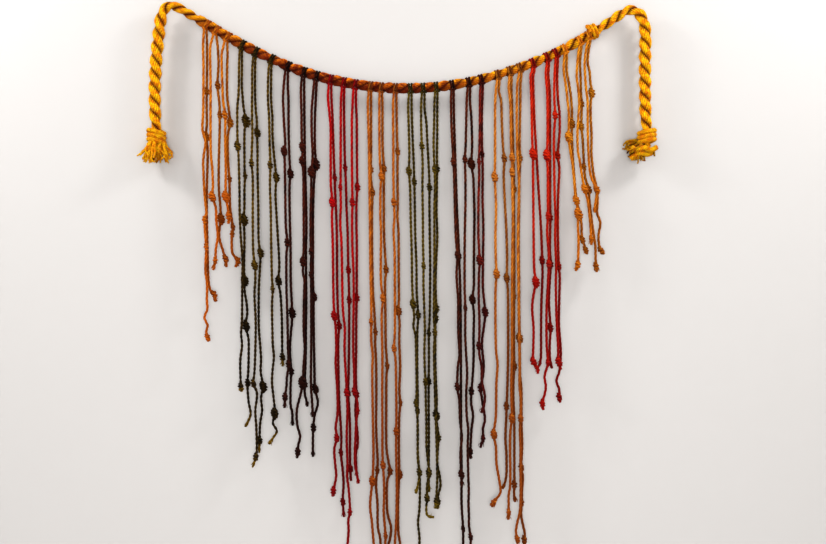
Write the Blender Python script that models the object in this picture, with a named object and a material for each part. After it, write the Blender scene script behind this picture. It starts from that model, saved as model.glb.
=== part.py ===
"""Inca quipu: a thick primary cord hung at two bends, with thirty doubled pendant cords hitched to it.

Metres, +Z up, +X to the right along the primary cord, +Y to the back.
The origin is the primary cord's centre at the top of its left bend.
Cord routes are written in millimetres, right of and below the top left corner of a flat layout.
"""
import math

import bpy
from mathutils import Vector

MM = 0.001

# Flat layout: the millimetres that one step of a route stands for
LAYOUT_SCALE = 1.0

# Primary cord
ROPE_SPAN_RADIUS = 4.25
ROPE_TAIL_RADIUS = 6.3
ROPE_NECK_RADIUS = 5.0
ROPE_BEND_RADIUS = 5.0
ROPE_STEP = 11.0

# Pendant cords
CORD_RADIUS = 1.3
HITCH_CORD_RADIUS = 0.9
CLEARANCE = 0.3
SELF_CLEARANCE = 0.45
FRONT_LANE = 7.2
BACK_LANE = 4.1
SHOWN_KNOT = 6.0
KNOT_LENGTH_RATIO = 1.25
LEG_STEP = 60.0
HITCH_STEP_ANGLE = 50.0
HITCH_START_ANGLE = -28.0
HITCH_BAR_ANGLE = -25.0
HITCH_BAR_CLEARANCE = 0.75
HITCH_DROP = 11.0
HITCH_SPREAD = 0.2
HITCH_EXIT_DEPTHS = (5.9, 4.5)
HITCH_RING_STEPS = 7
HITCH_SPREAD_START = 60.0
HITCH_SPREAD_TURN = 150.0
HITCH_RISE_ANGLE = -43.0
HITCH_RISE_SHARE = 0.62
LEG_START_SHARE = 0.85

# End bindings
BINDING_CORD_RADIUS = 1.5
BINDING_TURNS = 3
BINDING_POINTS_PER_TURN = 16
BINDING_TOP = 131.5
GAP_SKIP = 6

# Tube facets: the number of sides is 4 + 2 * resolution
ROPE_RESOLUTION = 3
CORD_RESOLUTION = 1

# The primary cord from the left tuft to the right one: layout x, layout y, radius
ROPE_ROUTE = (
    (155.8, 163.0, 12.5), (156.0, 157.0, 14.5), (156.2, 151.5, 11.0), (156.4, 147.0, ROPE_NECK_RADIUS),
    (156.4, 128.0, ROPE_NECK_RADIUS), (155.2, 116.0, ROPE_TAIL_RADIUS), (154.7, 92.0, ROPE_TAIL_RADIUS),
    (155.8, 64.0, ROPE_TAIL_RADIUS), (158.1, 40.0, ROPE_TAIL_RADIUS), (160.4, 21.0, 6.0),
    (163.4, 11.0, 5.6), (169.5, 5.5, ROPE_BEND_RADIUS), (178.5, 7.8, ROPE_BEND_RADIUS),
    (187.0, 12.8, 4.8), (197.0, 18.8, ROPE_SPAN_RADIUS), (212.0, 27.2, ROPE_SPAN_RADIUS),
    (229.0, 37.2, ROPE_SPAN_RADIUS), (250.6, 48.8, ROPE_SPAN_RADIUS), (271.7, 58.8, ROPE_SPAN_RADIUS),
    (296.6, 69.2, ROPE_SPAN_RADIUS), (323.7, 77.6, ROPE_SPAN_RADIUS), (350.0, 83.2, ROPE_SPAN_RADIUS),
    (376.0, 86.8, ROPE_SPAN_RADIUS), (402.0, 88.2, ROPE_SPAN_RADIUS), (428.6, 87.4, ROPE_SPAN_RADIUS),
    (455.0, 84.4, ROPE_SPAN_RADIUS), (480.0, 79.4, ROPE_SPAN_RADIUS), (505.0, 72.4, ROPE_SPAN_RADIUS),
    (530.0, 63.8, ROPE_SPAN_RADIUS), (552.0, 54.6, ROPE_SPAN_RADIUS), (572.0, 44.6, ROPE_SPAN_RADIUS),
    (590.0, 34.2, ROPE_SPAN_RADIUS), (607.0, 23.6, 4.8), (619.0, 15.4, ROPE_BEND_RADIUS),
    (629.5, 10.0, ROPE_BEND_RADIUS), (638.5, 13.0, 5.6), (643.6, 22.0, 6.0), (645.4, 34.0, ROPE_TAIL_RADIUS),
    (645.0, 60.0, ROPE_TAIL_RADIUS), (645.0, 90.0, ROPE_TAIL_RADIUS), (645.6, 116.0, ROPE_TAIL_RADIUS),
    (646.8, 128.0, ROPE_NECK_RADIUS), (646.8, 147.0, ROPE_NECK_RADIUS), (644.6, 151.5, 11.0),
    (642.0, 156.5, 14.0), (640.6, 161.5, 12.0),
)
# The route's points at the bound necks and at the two top bends, and the left bend's place on the layout
LEFT_NECK = 4
LEFT_NAIL = 11
RIGHT_NAIL = 34
RIGHT_NECK = 41
LAYOUT_NAIL = ROPE_ROUTE[LEFT_NAIL][:2]

# Where each pendant is tied (layout x), and its two legs: points of layout x and y, and at a knot its width
PENDANTS = (
    ("orange_pendant_1", "orange", 207.6,
     ((204.4, 48), (204.8, 69), (204.6, 110), (203.8, 130), (206.8, 143), (204.6, 160), (205.0, 178),
      (206.0, 196), (207.6, 213), (205.8, 220, 5), (207.0, 240), (207.6, 247, 5), (206.8, 270), (208.4, 284),
      (208.2, 300), (208.6, 309), (205.8, 317), (208.8, 325), (207.6, 331), (209.0, 336.5, 5.5), (209.4, 341)),
     ((207.8, 48), (207.8, 69), (207.4, 92, 5.5), (207.4, 110), (207.6, 124), (206.6, 137, 7), (208.4, 151),
      (208.0, 175), (207.4, 200), (208.0, 240), (209.6, 284), (214.6, 294, 6), (216.4, 301.5))),
    ("orange_pendant_2", "orange", 217.2,
     ((211.4, 50), (211.6, 69), (211.9, 92), (211.8, 110), (212.0, 151), (213.6, 170), (214.2, 186),
      (213.7, 197.4, 7.5), (217.0, 208), (217.6, 222), (219.0, 236), (217.0, 250), (216.6, 260.5, 5),
      (214.4, 270)),
     ((218.6, 50), (219.2, 66), (218.2, 86, 6), (220.2, 105), (220.4, 115.5, 5.5), (220.4, 130), (219.8, 150),
      (219.4, 170), (219.6, 190), (221.0, 206), (221.4, 219, 8), (219.8, 236), (223.4, 250), (226.0, 258.7, 6),
      (227.2, 267))),
    ("orange_pendant_3", "orange", 228.4,
     ((222.9, 56), (223.0, 68), (223.6, 86), (224.4, 103), (226.4, 116, 6), (226.4, 140), (227.0, 170),
      (226.8, 186), (227.2, 197.4, 8), (228.8, 207), (230.0, 216.4, 6), (229.6, 224)),
     ((228.2, 56), (227.8, 69), (227.8, 95), (229.4, 110), (230.6, 123, 7), (228.4, 138), (228.6, 160),
      (230.0, 179, 5), (230.4, 197), (231.0, 210), (233.4, 227, 5), (232.6, 234, 5), (232.4, 245),
      (233.4, 254), (238.6, 260.4, 6), (236.0, 267))),

    ("dark_olive_pendant_1", "dark_olive", 243.0,
     ((240.2, 68), (240.0, 85), (239.6, 96), (238.5, 109), (238.4, 130), (238.9, 147, 7), (239.8, 160),
      (240.6, 190), (240.8, 212), (241.8, 236), (243.5, 260), (243.3, 290), (243.1, 318), (242.2, 333),
      (243.1, 345), (241.4, 360), (241.6, 378), (242.2, 386, 6), (242.6, 391)),
     ((242.6, 68), (242.4, 85), (243.1, 96), (244.3, 109), (246.4, 121.4, 9), (245.1, 133), (245.1, 165),
      (245.6, 176, 5), (245.1, 190), (245.0, 208), (244.3, 219.8, 8.5), (245.1, 236), (244.7, 262),
      (245.0, 280.5, 8), (245.4, 292), (247.2, 303), (247.8, 314), (246.0, 325.6, 8), (249.0, 338),
      (249.3, 352), (248.9, 370), (248.0, 382.8, 6), (248.4, 392), (249.3, 402), (251.2, 413), (248.6, 421),
      (245.6, 426))),
    ("dark_olive_pendant_2", "dark_olive", 256.6,
     ((253.2, 74), (253.2, 92), (253.0, 110), (253.4, 135), (252.9, 150), (252.6, 164, 5.5), (253.8, 180),
      (253.8, 215), (254.2, 250), (256.0, 265.4, 7), (256.3, 280), (255.5, 295), (256.7, 322), (256.3, 350),
      (255.5, 371), (254.4, 382.8, 6), (258.0, 393), (256.3, 410), (257.2, 424), (257.6, 436), (257.8, 447),
      (257.0, 455.5, 6), (253.6, 466)),
     ((255.6, 74), (255.6, 92), (256.3, 110), (257.4, 121), (257.6, 133, 7), (258.0, 148), (258.2, 175),
      (258.8, 205), (259.2, 240), (261.0, 253, 7), (260.4, 270), (259.4, 290), (259.3, 325), (260.5, 342),
      (261.6, 359), (261.2, 371), (263.6, 386.5, 8), (261.6, 397), (262.6, 410), (260.7, 423), (260.0, 440, 6),
      (259.8, 452))),
    ("dark_olive_pendant_3", "dark_olive", 272.4,
     ((269.0, 82), (268.9, 100), (270.0, 118), (270.6, 145), (271.3, 166, 6), (270.9, 187), (271.7, 212),
      (272.1, 245), (272.9, 278), (273.6, 289, 5), (272.9, 307), (273.6, 342), (274.8, 356), (273.6, 368),
      (272.9, 382), (274.6, 398), (275.8, 412.4, 8), (273.8, 422), (277.6, 430), (273.8, 437), (269.8, 443)),
     ((271.6, 82), (271.6, 100), (272.9, 118), (273.0, 135), (274.2, 152), (276.6, 177.5, 7), (276.0, 195),
      (277.3, 220), (278.5, 240), (279.8, 265), (278.8, 281, 7), (280.8, 293), (281.8, 307), (282.4, 322),
      (282.6, 340), (282.8, 357, 6), (283.4, 366))),

    ("dark_brown_pendant_1", "dark_brown", 288.6,
     ((284.5, 88), (283.9, 100), (284.9, 125), (286.0, 143), (285.1, 152, 7), (285.6, 165), (286.0, 190),
      (286.6, 225), (288.2, 243, 6), (287.2, 256), (287.2, 285), (287.8, 305), (288.5, 330), (288.8, 350),
      (289.6, 363.7, 6), (287.9, 375), (287.2, 386), (285.9, 396, 6), (285.4, 407)),
     ((288.3, 88), (288.9, 100), (289.1, 130), (289.9, 158), (290.7, 174, 7), (289.9, 190), (290.3, 220),
      (291.0, 250), (291.2, 282), (292.2, 302), (292.4, 313, 7.5), (292.4, 323), (291.4, 332), (290.4, 350),
      (291.6, 371, 6), (291.0, 386), (291.0, 404), (292.6, 412), (293.0, 425))),
    ("dark_brown_pendant_2", "dark_brown", 304.6,
     ((301.6, 94), (302.2, 115), (302.4, 138), (303.4, 148, 7), (302.9, 162, 6.5), (304.0, 174), (304.3, 200),
      (304.5, 240), (303.9, 262, 7), (303.7, 273), (305.2, 281), (304.6, 300), (304.4, 330), (305.4, 348),
      (304.1, 368), (303.6, 382, 9), (301.2, 394), (297.6, 409), (298.0, 424), (300.8, 435), (299.0, 444),
      (298.6, 450.5, 6), (297.8, 457)),
     ((304.6, 94), (304.8, 120), (305.2, 150), (305.8, 178), (306.4, 203), (306.8, 228), (306.4, 250),
      (306.4, 275), (306.6, 300), (306.3, 326), (306.2, 350), (305.6, 370), (305.0, 384, 6), (305.3, 394),
      (306.8, 400), (308.0, 406))),
    ("dark_brown_pendant_3", "dark_brown", 317.2,
     ((313.4, 98), (312.3, 112), (312.4, 135), (313.3, 155), (312.2, 173, 8), (311.8, 190), (311.3, 215),
      (311.3, 240), (311.9, 252, 5.5), (311.5, 264), (311.7, 275, 5), (311.9, 305), (311.9, 338), (311.7, 360),
      (311.6, 384), (312.8, 402), (313.4, 416)),
     ((316.2, 98), (315.3, 120), (315.2, 145), (316.0, 164.5, 8.5), (314.2, 185), (313.4, 215), (313.4, 250),
      (313.2, 275), (313.9, 296.6, 7), (314.0, 318), (314.2, 340), (314.8, 370), (315.4, 388.6, 7),
      (318.2, 402), (315.0, 415), (313.6, 427.3, 6), (313.3, 440), (313.2, 456))),

    ("crimson_pendant_1", "crimson", 331.0,
     ((328.6, 100), (330.0, 114), (331.2, 130), (331.2, 155), (331.4, 185), (333.0, 203, 7), (332.5, 218),
      (333.3, 245), (333.8, 285), (334.2, 303), (335.0, 315.7, 7), (336.2, 328), (336.8, 348), (336.2, 363),
      (337.8, 390), (338.0, 412), (336.2, 426), (337.4, 437, 6), (334.8, 448), (335.6, 462), (336.6, 475),
      (333.9, 489, 6), (333.4, 495)),
     ((331.8, 100), (332.6, 114), (333.6, 143), (334.4, 165), (335.0, 178, 5), (335.4, 192), (336.4, 212),
      (337.2, 240), (337.4, 280), (338.2, 310), (339.4, 325.6, 6), (338.6, 340), (338.7, 370), (339.4, 400),
      (341.0, 425), (341.6, 440), (341.0, 452, 5), (342.0, 461), (343.2, 472), (343.8, 484), (343.2, 494),
      (343.0, 501.4, 5.5), (344.2, 516))),
    ("crimson_pendant_2", "crimson", 344.2,
     ((341.4, 104), (341.2, 135), (341.1, 175), (340.9, 188, 4.5), (341.3, 205), (340.7, 224), (341.8, 240),
      (342.4, 262), (342.8, 292), (343.6, 313), (345.2, 328), (345.0, 350), (346.2, 373), (347.2, 392, 6),
      (347.8, 410), (347.1, 436), (347.8, 460), (347.6, 475), (349.0, 487), (350.0, 500), (350.3, 510.5, 5),
      (348.7, 519), (349.0, 529), (348.2, 540), (347.0, 552), (347.8, 562, 6), (347.6, 569)),
     ((344.2, 104), (344.6, 135), (345.1, 157), (345.4, 168, 5), (346.1, 183), (346.8, 208), (347.8, 232),
      (348.3, 258), (348.6, 270, 5.5), (349.1, 285), (349.4, 300, 5.5), (349.4, 320), (349.3, 345),
      (348.9, 372), (348.4, 393, 5.5), (349.4, 408), (350.2, 428), (350.2, 448), (350.4, 468, 6),
      (351.2, 480))),
    ("crimson_pendant_3", "crimson", 355.6,
     ((353.0, 105), (352.3, 122), (352.3, 155), (352.6, 188), (352.9, 203, 6), (352.5, 220), (352.8, 248),
      (353.8, 270), (354.1, 300), (353.7, 325), (353.7, 350), (354.5, 372), (354.9, 391, 6), (357.6, 401),
      (357.8, 410, 5), (356.4, 423), (355.9, 436), (355.3, 448), (355.4, 463), (357.0, 472), (359.0, 482)),
     ((356.2, 105), (356.9, 120), (357.1, 150), (357.3, 175), (357.6, 187.4, 6), (356.7, 204), (356.6, 225),
      (357.0, 245), (356.9, 285), (356.9, 297.8, 6), (356.5, 315), (356.4, 350), (356.0, 376),
      (356.6, 394, 6), (355.6, 411), (357.6, 432), (357.9, 444), (356.1, 454), (356.9, 475))),

    ("orange_brown_pendant_1", "orange_brown", 370.6,
     ((368.2, 106), (368.6, 125), (369.2, 145), (369.6, 170), (369.9, 192), (370.3, 225), (370.7, 265),
      (371.5, 303), (371.5, 321.5, 5), (371.5, 340), (373.0, 355), (372.5, 372), (373.0, 410), (373.7, 448),
      (373.4, 466), (372.7, 479.6, 7), (371.4, 491), (370.4, 505), (372.2, 521), (373.8, 540), (375.2, 553),
      (375.0, 567)),
     ((371.2, 106), (371.2, 130), (371.2, 155), (370.8, 169.5, 6), (371.2, 181), (372.5, 192.4, 6),
      (372.1, 215), (372.3, 255), (373.0, 290), (374.6, 313), (375.5, 331.8, 5), (375.3, 345), (376.2, 360),
      (376.5, 390), (376.3, 425), (377.2, 448), (377.8, 460), (377.3, 469.6, 5), (376.2, 485), (377.6, 503),
      (377.9, 525), (380.2, 537), (380.8, 550), (380.4, 563))),
    ("orange_brown_pendant_2", "orange_brown", 381.2,
     ((379.6, 108), (379.7, 140), (380.2, 163), (381.6, 177, 6), (380.7, 190), (380.6, 215), (381.3, 235),
      (381.0, 262), (381.3, 284), (383.2, 298, 6), (382.0, 311), (382.0, 330), (382.6, 355), (382.4, 390),
      (382.6, 425), (382.6, 450), (383.2, 463.8, 6), (384.0, 477), (384.4, 492), (383.9, 510), (385.2, 527),
      (385.7, 534, 4.5), (385.2, 548), (385.6, 561)),
     ((382.6, 108), (382.7, 145), (384.0, 168.6, 6), (383.9, 190), (384.0, 222), (384.6, 245),
      (386.1, 269.5, 6), (385.2, 283), (385.5, 315), (385.9, 345), (387.3, 365.4, 5), (386.5, 378),
      (386.3, 410), (386.5, 445), (388.4, 460), (390.2, 470.8, 6), (387.4, 480), (386.8, 495), (387.6, 512),
      (391.0, 526), (390.4, 536), (388.2, 547), (388.0, 565))),
    ("orange_brown_pendant_3", "orange_brown", 395.4,
     ((393.2, 109), (393.4, 140), (393.5, 175), (393.8, 192), (394.1, 202.8, 6), (394.6, 217), (393.7, 232),
      (394.7, 252), (395.0, 290), (395.0, 330), (394.2, 348, 5.5), (395.7, 360), (396.3, 390), (396.5, 415),
      (396.3, 430.6, 6), (396.2, 448), (396.6, 468), (396.9, 490), (396.6, 512), (395.8, 528), (394.9, 544),
      (394.6, 560)),
     ((396.6, 109), (397.0, 135), (397.7, 152, 5.5), (397.5, 172), (397.8, 205), (397.5, 217), (398.6, 234),
      (398.8, 270), (399.0, 297), (398.4, 310.7, 7), (399.6, 322), (399.3, 342), (400.2, 366), (399.4, 390),
      (400.4, 402.4, 4.5), (399.3, 416), (398.9, 445), (399.3, 473.7, 7), (398.5, 490), (398.1, 515),
      (398.5, 532), (400.2, 544), (400.4, 564))),

    ("olive_green_pendant_1", "olive_green", 410.4,
     ((408.2, 109), (408.8, 128), (409.4, 155), (409.0, 172, 6.5), (410.2, 190), (410.8, 222), (411.8, 255),
      (412.2, 285), (413.2, 304, 7), (414.2, 317), (413.4, 326), (415.6, 336), (416.2, 360), (416.6, 388),
      (416.2, 402.4, 6), (417.4, 417), (417.6, 440), (417.8, 458), (419.4, 471, 6), (418.2, 482),
      (415.9, 492)),
     ((411.7, 109), (412.4, 132), (413.6, 160), (414.3, 182, 5.5), (414.8, 205), (415.3, 235), (416.4, 265),
      (416.7, 292), (418.2, 314.8, 6), (417.4, 330), (417.2, 350), (417.4, 380), (417.8, 398),
      (417.4, 410.5, 5.5), (417.8, 428), (417.8, 450), (418.8, 466), (419.8, 482), (419.8, 498), (419.2, 511),
      (418.0, 522), (419.4, 536), (419.2, 548), (418.7, 561, 6), (418.4, 570))),
    ("olive_green_pendant_2", "olive_green", 423.2,
     ((421.0, 109), (421.2, 130), (421.9, 147, 5.5), (422.6, 165), (422.4, 187), (422.8, 215), (423.0, 245),
      (423.5, 266, 5), (423.4, 285), (424.2, 308), (424.8, 330), (424.3, 350), (424.7, 368),
      (425.4, 381.5, 5.5), (425.7, 400), (426.3, 422), (426.4, 444), (427.6, 458), (428.9, 471, 6.5),
      (426.9, 485), (427.0, 496.5, 6), (426.2, 506), (427.4, 514), (433.8, 515.6)),
     ((424.6, 109), (426.4, 124), (427.2, 140), (428.2, 158), (429.0, 174), (429.5, 187.6, 6), (429.4, 205),
      (429.7, 235), (430.1, 265), (429.9, 300), (429.5, 320), (428.8, 333, 5), (428.9, 355), (428.7, 381, 6),
      (428.6, 400), (428.8, 430), (428.8, 452), (428.6, 474, 5.5), (429.0, 491))),
    ("olive_green_pendant_3", "olive_green", 436.2,
     ((434.2, 108), (434.0, 125), (433.5, 145), (434.4, 170, 5.5), (434.8, 188), (434.3, 210), (434.3, 240),
      (434.2, 270), (433.9, 300), (433.9, 320), (434.7, 332, 5.5), (433.8, 350), (434.3, 375), (435.2, 405),
      (436.1, 432), (436.8, 455), (437.1, 477), (436.6, 488), (436.0, 500, 5.5), (435.4, 507)),
     ((437.2, 108), (437.2, 135), (436.9, 155), (437.0, 169, 6), (436.8, 190), (436.4, 210), (437.2, 236),
      (436.3, 258), (435.5, 280), (435.9, 299), (436.3, 308, 6.5), (435.6, 318, 6.5), (435.2, 340),
      (435.5, 372), (436.7, 398), (436.2, 415, 7.5), (437.6, 428), (438.6, 437.3, 5.5), (437.5, 452),
      (437.4, 464), (439.4, 474), (440.4, 485), (438.4, 493), (437.8, 501, 6), (437.6, 508))),

    ("umber_pendant_1", "umber", 452.0,
     ((450.8, 104), (451.2, 125), (452.2, 145), (453.2, 162.8, 6), (454.0, 180), (454.6, 205), (455.6, 238),
      (457.2, 255.4, 6), (456.3, 275), (457.8, 300), (458.0, 330), (459.2, 354), (457.6, 366),
      (457.0, 386, 6), (459.0, 400), (459.8, 420), (461.6, 436), (460.2, 452), (461.0, 473, 6.5),
      (461.6, 485)),
     ((453.6, 104), (454.2, 130), (455.0, 155), (455.8, 180), (456.8, 210), (458.2, 238), (458.9, 256, 5.5),
      (459.8, 280), (460.4, 310), (460.6, 340), (460.8, 370), (460.8, 402), (461.0, 424), (461.0, 442),
      (461.4, 460), (461.4, 480), (461.3, 498), (461.8, 511), (462.9, 528, 4.5), (463.0, 545), (463.0, 561))),
    ("umber_pendant_2", "umber", 468.4,
     ((466.4, 102), (465.9, 122), (465.4, 145), (464.6, 160.3, 5.5), (465.1, 180), (465.1, 205), (464.6, 228),
      (464.3, 255), (464.3, 288), (465.0, 307.8, 4.5), (464.9, 335), (465.9, 356), (466.8, 373), (465.9, 393),
      (466.4, 415), (467.8, 428), (467.4, 446), (467.8, 470), (468.4, 490), (468.1, 502), (468.6, 514),
      (468.6, 524), (470.2, 535, 5), (470.2, 549), (470.1, 563)),
     ((469.8, 102), (471.2, 120), (471.9, 145), (471.2, 164, 8), (473.0, 177), (473.7, 195), (474.2, 215),
      (473.9, 240), (473.7, 262), (473.6, 285), (472.3, 299.5, 7), (473.7, 314), (473.3, 338), (473.4, 356),
      (472.6, 374), (471.2, 391, 6), (471.0, 403), (472.8, 415), (471.4, 428), (470.6, 440),
      (470.2, 451, 5.5), (470.6, 458))),
    ("umber_pendant_3", "red_umber", 481.0,
     ((479.6, 98), (479.4, 130), (479.0, 150), (478.6, 162.4, 4.5), (478.7, 178), (478.1, 200), (478.0, 235),
      (479.2, 260.4, 7.5), (478.5, 275), (478.3, 297), (479.0, 320), (478.9, 334), (478.5, 345.5, 6),
      (479.2, 356), (481.2, 366), (481.6, 381), (484.4, 395), (483.4, 405), (480.9, 412)),
     ((482.2, 98), (481.6, 115), (481.7, 140), (482.0, 154.5, 5), (482.5, 172), (482.3, 199), (483.1, 228),
      (482.8, 258), (482.7, 288), (485.0, 312, 7), (483.7, 326), (481.7, 344), (483.4, 364), (482.6, 376),
      (480.2, 387.8, 6), (481.6, 398), (484.6, 418), (482.7, 428), (482.9, 438, 5), (480.2, 447))),

    ("ochre_pendant_1", "ochre", 497.4,
     ((495.3, 92), (494.6, 108), (494.6, 140), (494.5, 164), (494.1, 177.7, 7), (494.9, 192), (495.5, 210),
      (494.9, 236), (495.3, 260), (496.0, 274, 7), (495.0, 290), (494.9, 320), (495.5, 350), (497.0, 364),
      (495.8, 384), (495.3, 415), (493.2, 433.1, 7), (495.4, 446), (495.9, 462), (498.2, 476), (500.0, 490),
      (496.2, 497), (492.8, 501, 6), (491.4, 505)),
     ((498.5, 92), (500.8, 102), (501.6, 125), (502.8, 149), (504.2, 158.7, 6), (503.4, 176), (504.4, 200),
      (506.0, 230), (506.7, 256), (506.5, 278, 6.5), (507.6, 293), (507.8, 325), (507.7, 358), (506.9, 390),
      (506.2, 406, 6), (505.8, 420), (505.1, 437), (506.1, 455), (506.0, 474), (504.2, 483), (502.2, 488))),
    ("ochre_pendant_2", "ochre", 509.4,
     ((508.2, 90), (509.8, 105), (510.2, 130), (510.6, 148), (511.5, 159, 6.5), (511.5, 173, 6), (511.8, 195),
      (512.2, 220), (511.7, 250), (511.4, 280), (511.3, 320), (511.3, 355), (510.7, 380), (510.9, 402),
      (511.3, 417.4, 7), (509.8, 430), (509.4, 446), (509.7, 470), (509.4, 485), (508.1, 494),
      (508.0, 510.5, 5), (507.6, 518)),
     ((511.0, 90), (511.8, 110), (512.2, 130), (512.8, 150), (513.4, 170), (513.6, 189, 6), (513.7, 215),
      (513.8, 245), (514.0, 275), (513.8, 295.8, 5), (513.7, 325), (513.7, 352), (513.9, 365.8, 6.5),
      (513.1, 382), (513.0, 398), (513.8, 416), (514.0, 434), (514.0, 452), (514.0, 470), (514.0, 484, 6),
      (513.8, 494), (515.0, 501))),
    ("ochre_pendant_3", "ochre", 519.4,
     ((516.6, 86), (516.2, 100), (516.1, 125), (516.8, 155), (518.2, 182), (518.0, 200), (517.4, 230),
      (517.3, 255), (517.8, 285), (518.1, 315), (518.6, 345), (518.9, 368), (518.8, 384), (519.9, 398),
      (519.8, 417.4, 6), (519.2, 430), (519.8, 446), (519.8, 470), (520.0, 490), (519.4, 508), (516.2, 523),
      (515.3, 530), (516.6, 537, 5.5), (517.2, 542)),
     ((520.0, 86), (519.9, 104), (519.4, 130), (519.2, 147), (519.9, 158.3, 5.5), (519.1, 176), (518.8, 205),
      (518.3, 240), (518.7, 275), (518.9, 310), (519.3, 338, 7.5), (519.5, 354), (519.7, 374), (521.0, 390),
      (521.2, 425), (521.8, 444), (520.9, 466.8, 6), (522.4, 476), (521.6, 490), (521.5, 501.4, 5),
      (520.8, 514), (523.0, 526), (524.3, 532), (523.9, 538.7, 6), (523.8, 544))),

    ("red_pendant_1", "red", 532.4,
     ((529.8, 78), (530.6, 97), (531.2, 125), (531.5, 143), (532.2, 155, 8), (532.3, 175), (532.6, 205),
      (532.9, 240), (533.4, 268), (535.0, 282, 8), (532.9, 294), (531.4, 308), (532.8, 328), (532.5, 348),
      (532.4, 361, 6.5), (536.2, 367, 5), (537.3, 373)),
     ((532.7, 78), (533.2, 100), (534.2, 125), (535.6, 148), (536.9, 170), (538.4, 195), (540.2, 222),
      (541.3, 245), (541.8, 260.4, 6), (542.0, 276), (540.9, 305), (540.6, 330), (540.6, 350), (540.2, 359),
      (538.4, 366))),
    ("red_pendant_2", "red", 546.6,
     ((545.0, 76), (546.4, 95), (546.8, 125), (546.6, 143), (546.1, 156.6, 8.5), (546.9, 172), (547.0, 195),
      (547.1, 216.4, 5.5), (546.3, 232), (547.6, 250), (547.9, 264, 6), (547.0, 285), (545.9, 305),
      (545.6, 325), (545.9, 345), (547.0, 362, 5), (544.8, 371), (543.7, 377), (545.0, 386), (543.4, 395),
      (541.2, 402.4, 6), (542.6, 409)),
     ((547.9, 76), (549.3, 95), (549.5, 125), (549.5, 155), (549.7, 175), (549.6, 198), (549.9, 217.3, 6),
      (549.6, 235), (549.4, 250), (550.3, 264, 6), (549.2, 282), (548.5, 303), (550.0, 327.3, 6.5),
      (549.2, 345), (549.4, 358), (551.6, 368))),
    ("red_pendant_3", "red", 555.4,
     ((553.6, 80), (553.4, 100), (554.3, 116.4, 6), (553.4, 130), (553.0, 145), (553.3, 170), (553.8, 198),
      (554.7, 217), (554.3, 238), (555.2, 264), (554.9, 284), (555.4, 310), (556.2, 328), (557.2, 346),
      (557.6, 361.3, 7), (560.2, 369)),
     ((556.6, 80), (557.4, 99), (559.0, 114), (559.1, 132), (557.9, 146), (557.3, 155.8, 6), (558.8, 170),
      (558.0, 187), (557.4, 205), (557.4, 235), (558.3, 266.2, 6), (559.2, 278), (558.6, 305), (558.4, 325),
      (560.2, 351), (559.0, 370), (556.0, 380), (558.6, 389), (558.7, 396.6, 6), (559.9, 402))),

    ("golden_pendant_1", "golden", 563.8,
     ((562.8, 72), (564.8, 86), (566.4, 100), (567.8, 114), (567.9, 126), (567.6, 138.4, 8), (569.4, 152),
      (571.6, 166), (573.2, 182), (574.0, 192), (575.0, 200.7, 7), (577.2, 214.8, 8.5), (576.9, 225),
      (577.5, 240), (577.2, 255), (576.7, 264.5, 6), (574.8, 271)),
     ((566.2, 72), (568.4, 84), (570.4, 98), (571.4, 112), (571.2, 123.8, 7.5), (571.4, 137), (571.9, 152),
      (573.0, 168), (574.3, 184), (576.0, 201), (579.0, 212), (580.9, 225), (581.0, 232), (581.8, 239.5, 6),
      (585.2, 249.6, 5.5), (586.6, 254))),
    ("golden_pendant_2", "golden", 579.0,
     ((576.4, 64), (575.7, 78), (577.2, 90), (578.2, 104), (577.2, 120), (576.4, 136), (576.9, 152),
      (578.8, 162), (580.6, 174), (583.4, 189.5, 7), (586.4, 200), (588.0, 212), (589.4, 226),
      (590.0, 238.8, 5), (590.4, 245)),
     ((579.4, 64), (580.0, 78), (580.3, 92), (581.0, 104, 6), (581.0, 115), (580.6, 126.3, 6.5),
      (581.9, 138), (582.8, 154), (583.6, 167, 5), (584.6, 178), (588.0, 189.5, 7), (588.8, 201), (590.2, 213),
      (591.8, 226), (593.4, 237), (594.8, 248), (594.9, 258), (595.6, 266.2, 6), (596.0, 272))),
    ("golden_pendant_3", "golden", 588.4,
     ((583.7, 62), (584.0, 76), (585.0, 90), (586.6, 104), (586.6, 126), (586.9, 142), (587.5, 156),
      (588.2, 167), (590.2, 178), (595.4, 190, 6.5), (595.0, 199), (593.9, 206), (593.7, 213)),
     ((587.0, 62), (589.0, 73), (589.8, 84), (591.4, 93.2, 7), (590.0, 104), (590.1, 120), (590.9, 136),
      (590.7, 152), (591.6, 164), (593.0, 175), (596.4, 191, 5.5), (596.9, 203), (596.4, 213), (599.6, 223),
      (598.0, 234), (598.2, 244), (600.5, 250.4, 6), (603.2, 254))),
)

COLOURS = {
    "rope_yellow": (0.80, 0.42, 0.03),
    "orange": (0.68, 0.18, 0.02),
    "dark_olive": (0.045, 0.04, 0.012),
    "dark_brown": (0.03, 0.012, 0.008),
    "crimson": (0.40, 0.01, 0.015),
    "orange_brown": (0.52, 0.13, 0.02),
    "olive_green": (0.11, 0.085, 0.015),
    "umber": (0.035, 0.012, 0.008),
    "red_umber": (0.12, 0.02, 0.012),
    "ochre": (0.62, 0.27, 0.04),
    "red": (0.62, 0.05, 0.015),
    "golden": (0.66, 0.28, 0.03),
}
FIBRE_ROUGHNESS = 0.9


def to_world(layout_x, layout_y, front=0.0):
    """A place on the layout, and how far it stands out from the primary cord's plane, in metres."""
    unit = LAYOUT_SCALE * MM
    return Vector(((layout_x - LAYOUT_NAIL[0]) * unit, -front * MM, (LAYOUT_NAIL[1] - layout_y) * unit))


def to_layout(place):
    """The layout x and y of a place in metres."""
    unit = LAYOUT_SCALE * MM
    return place.x / unit + LAYOUT_NAIL[0], LAYOUT_NAIL[1] - place.z / unit


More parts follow.
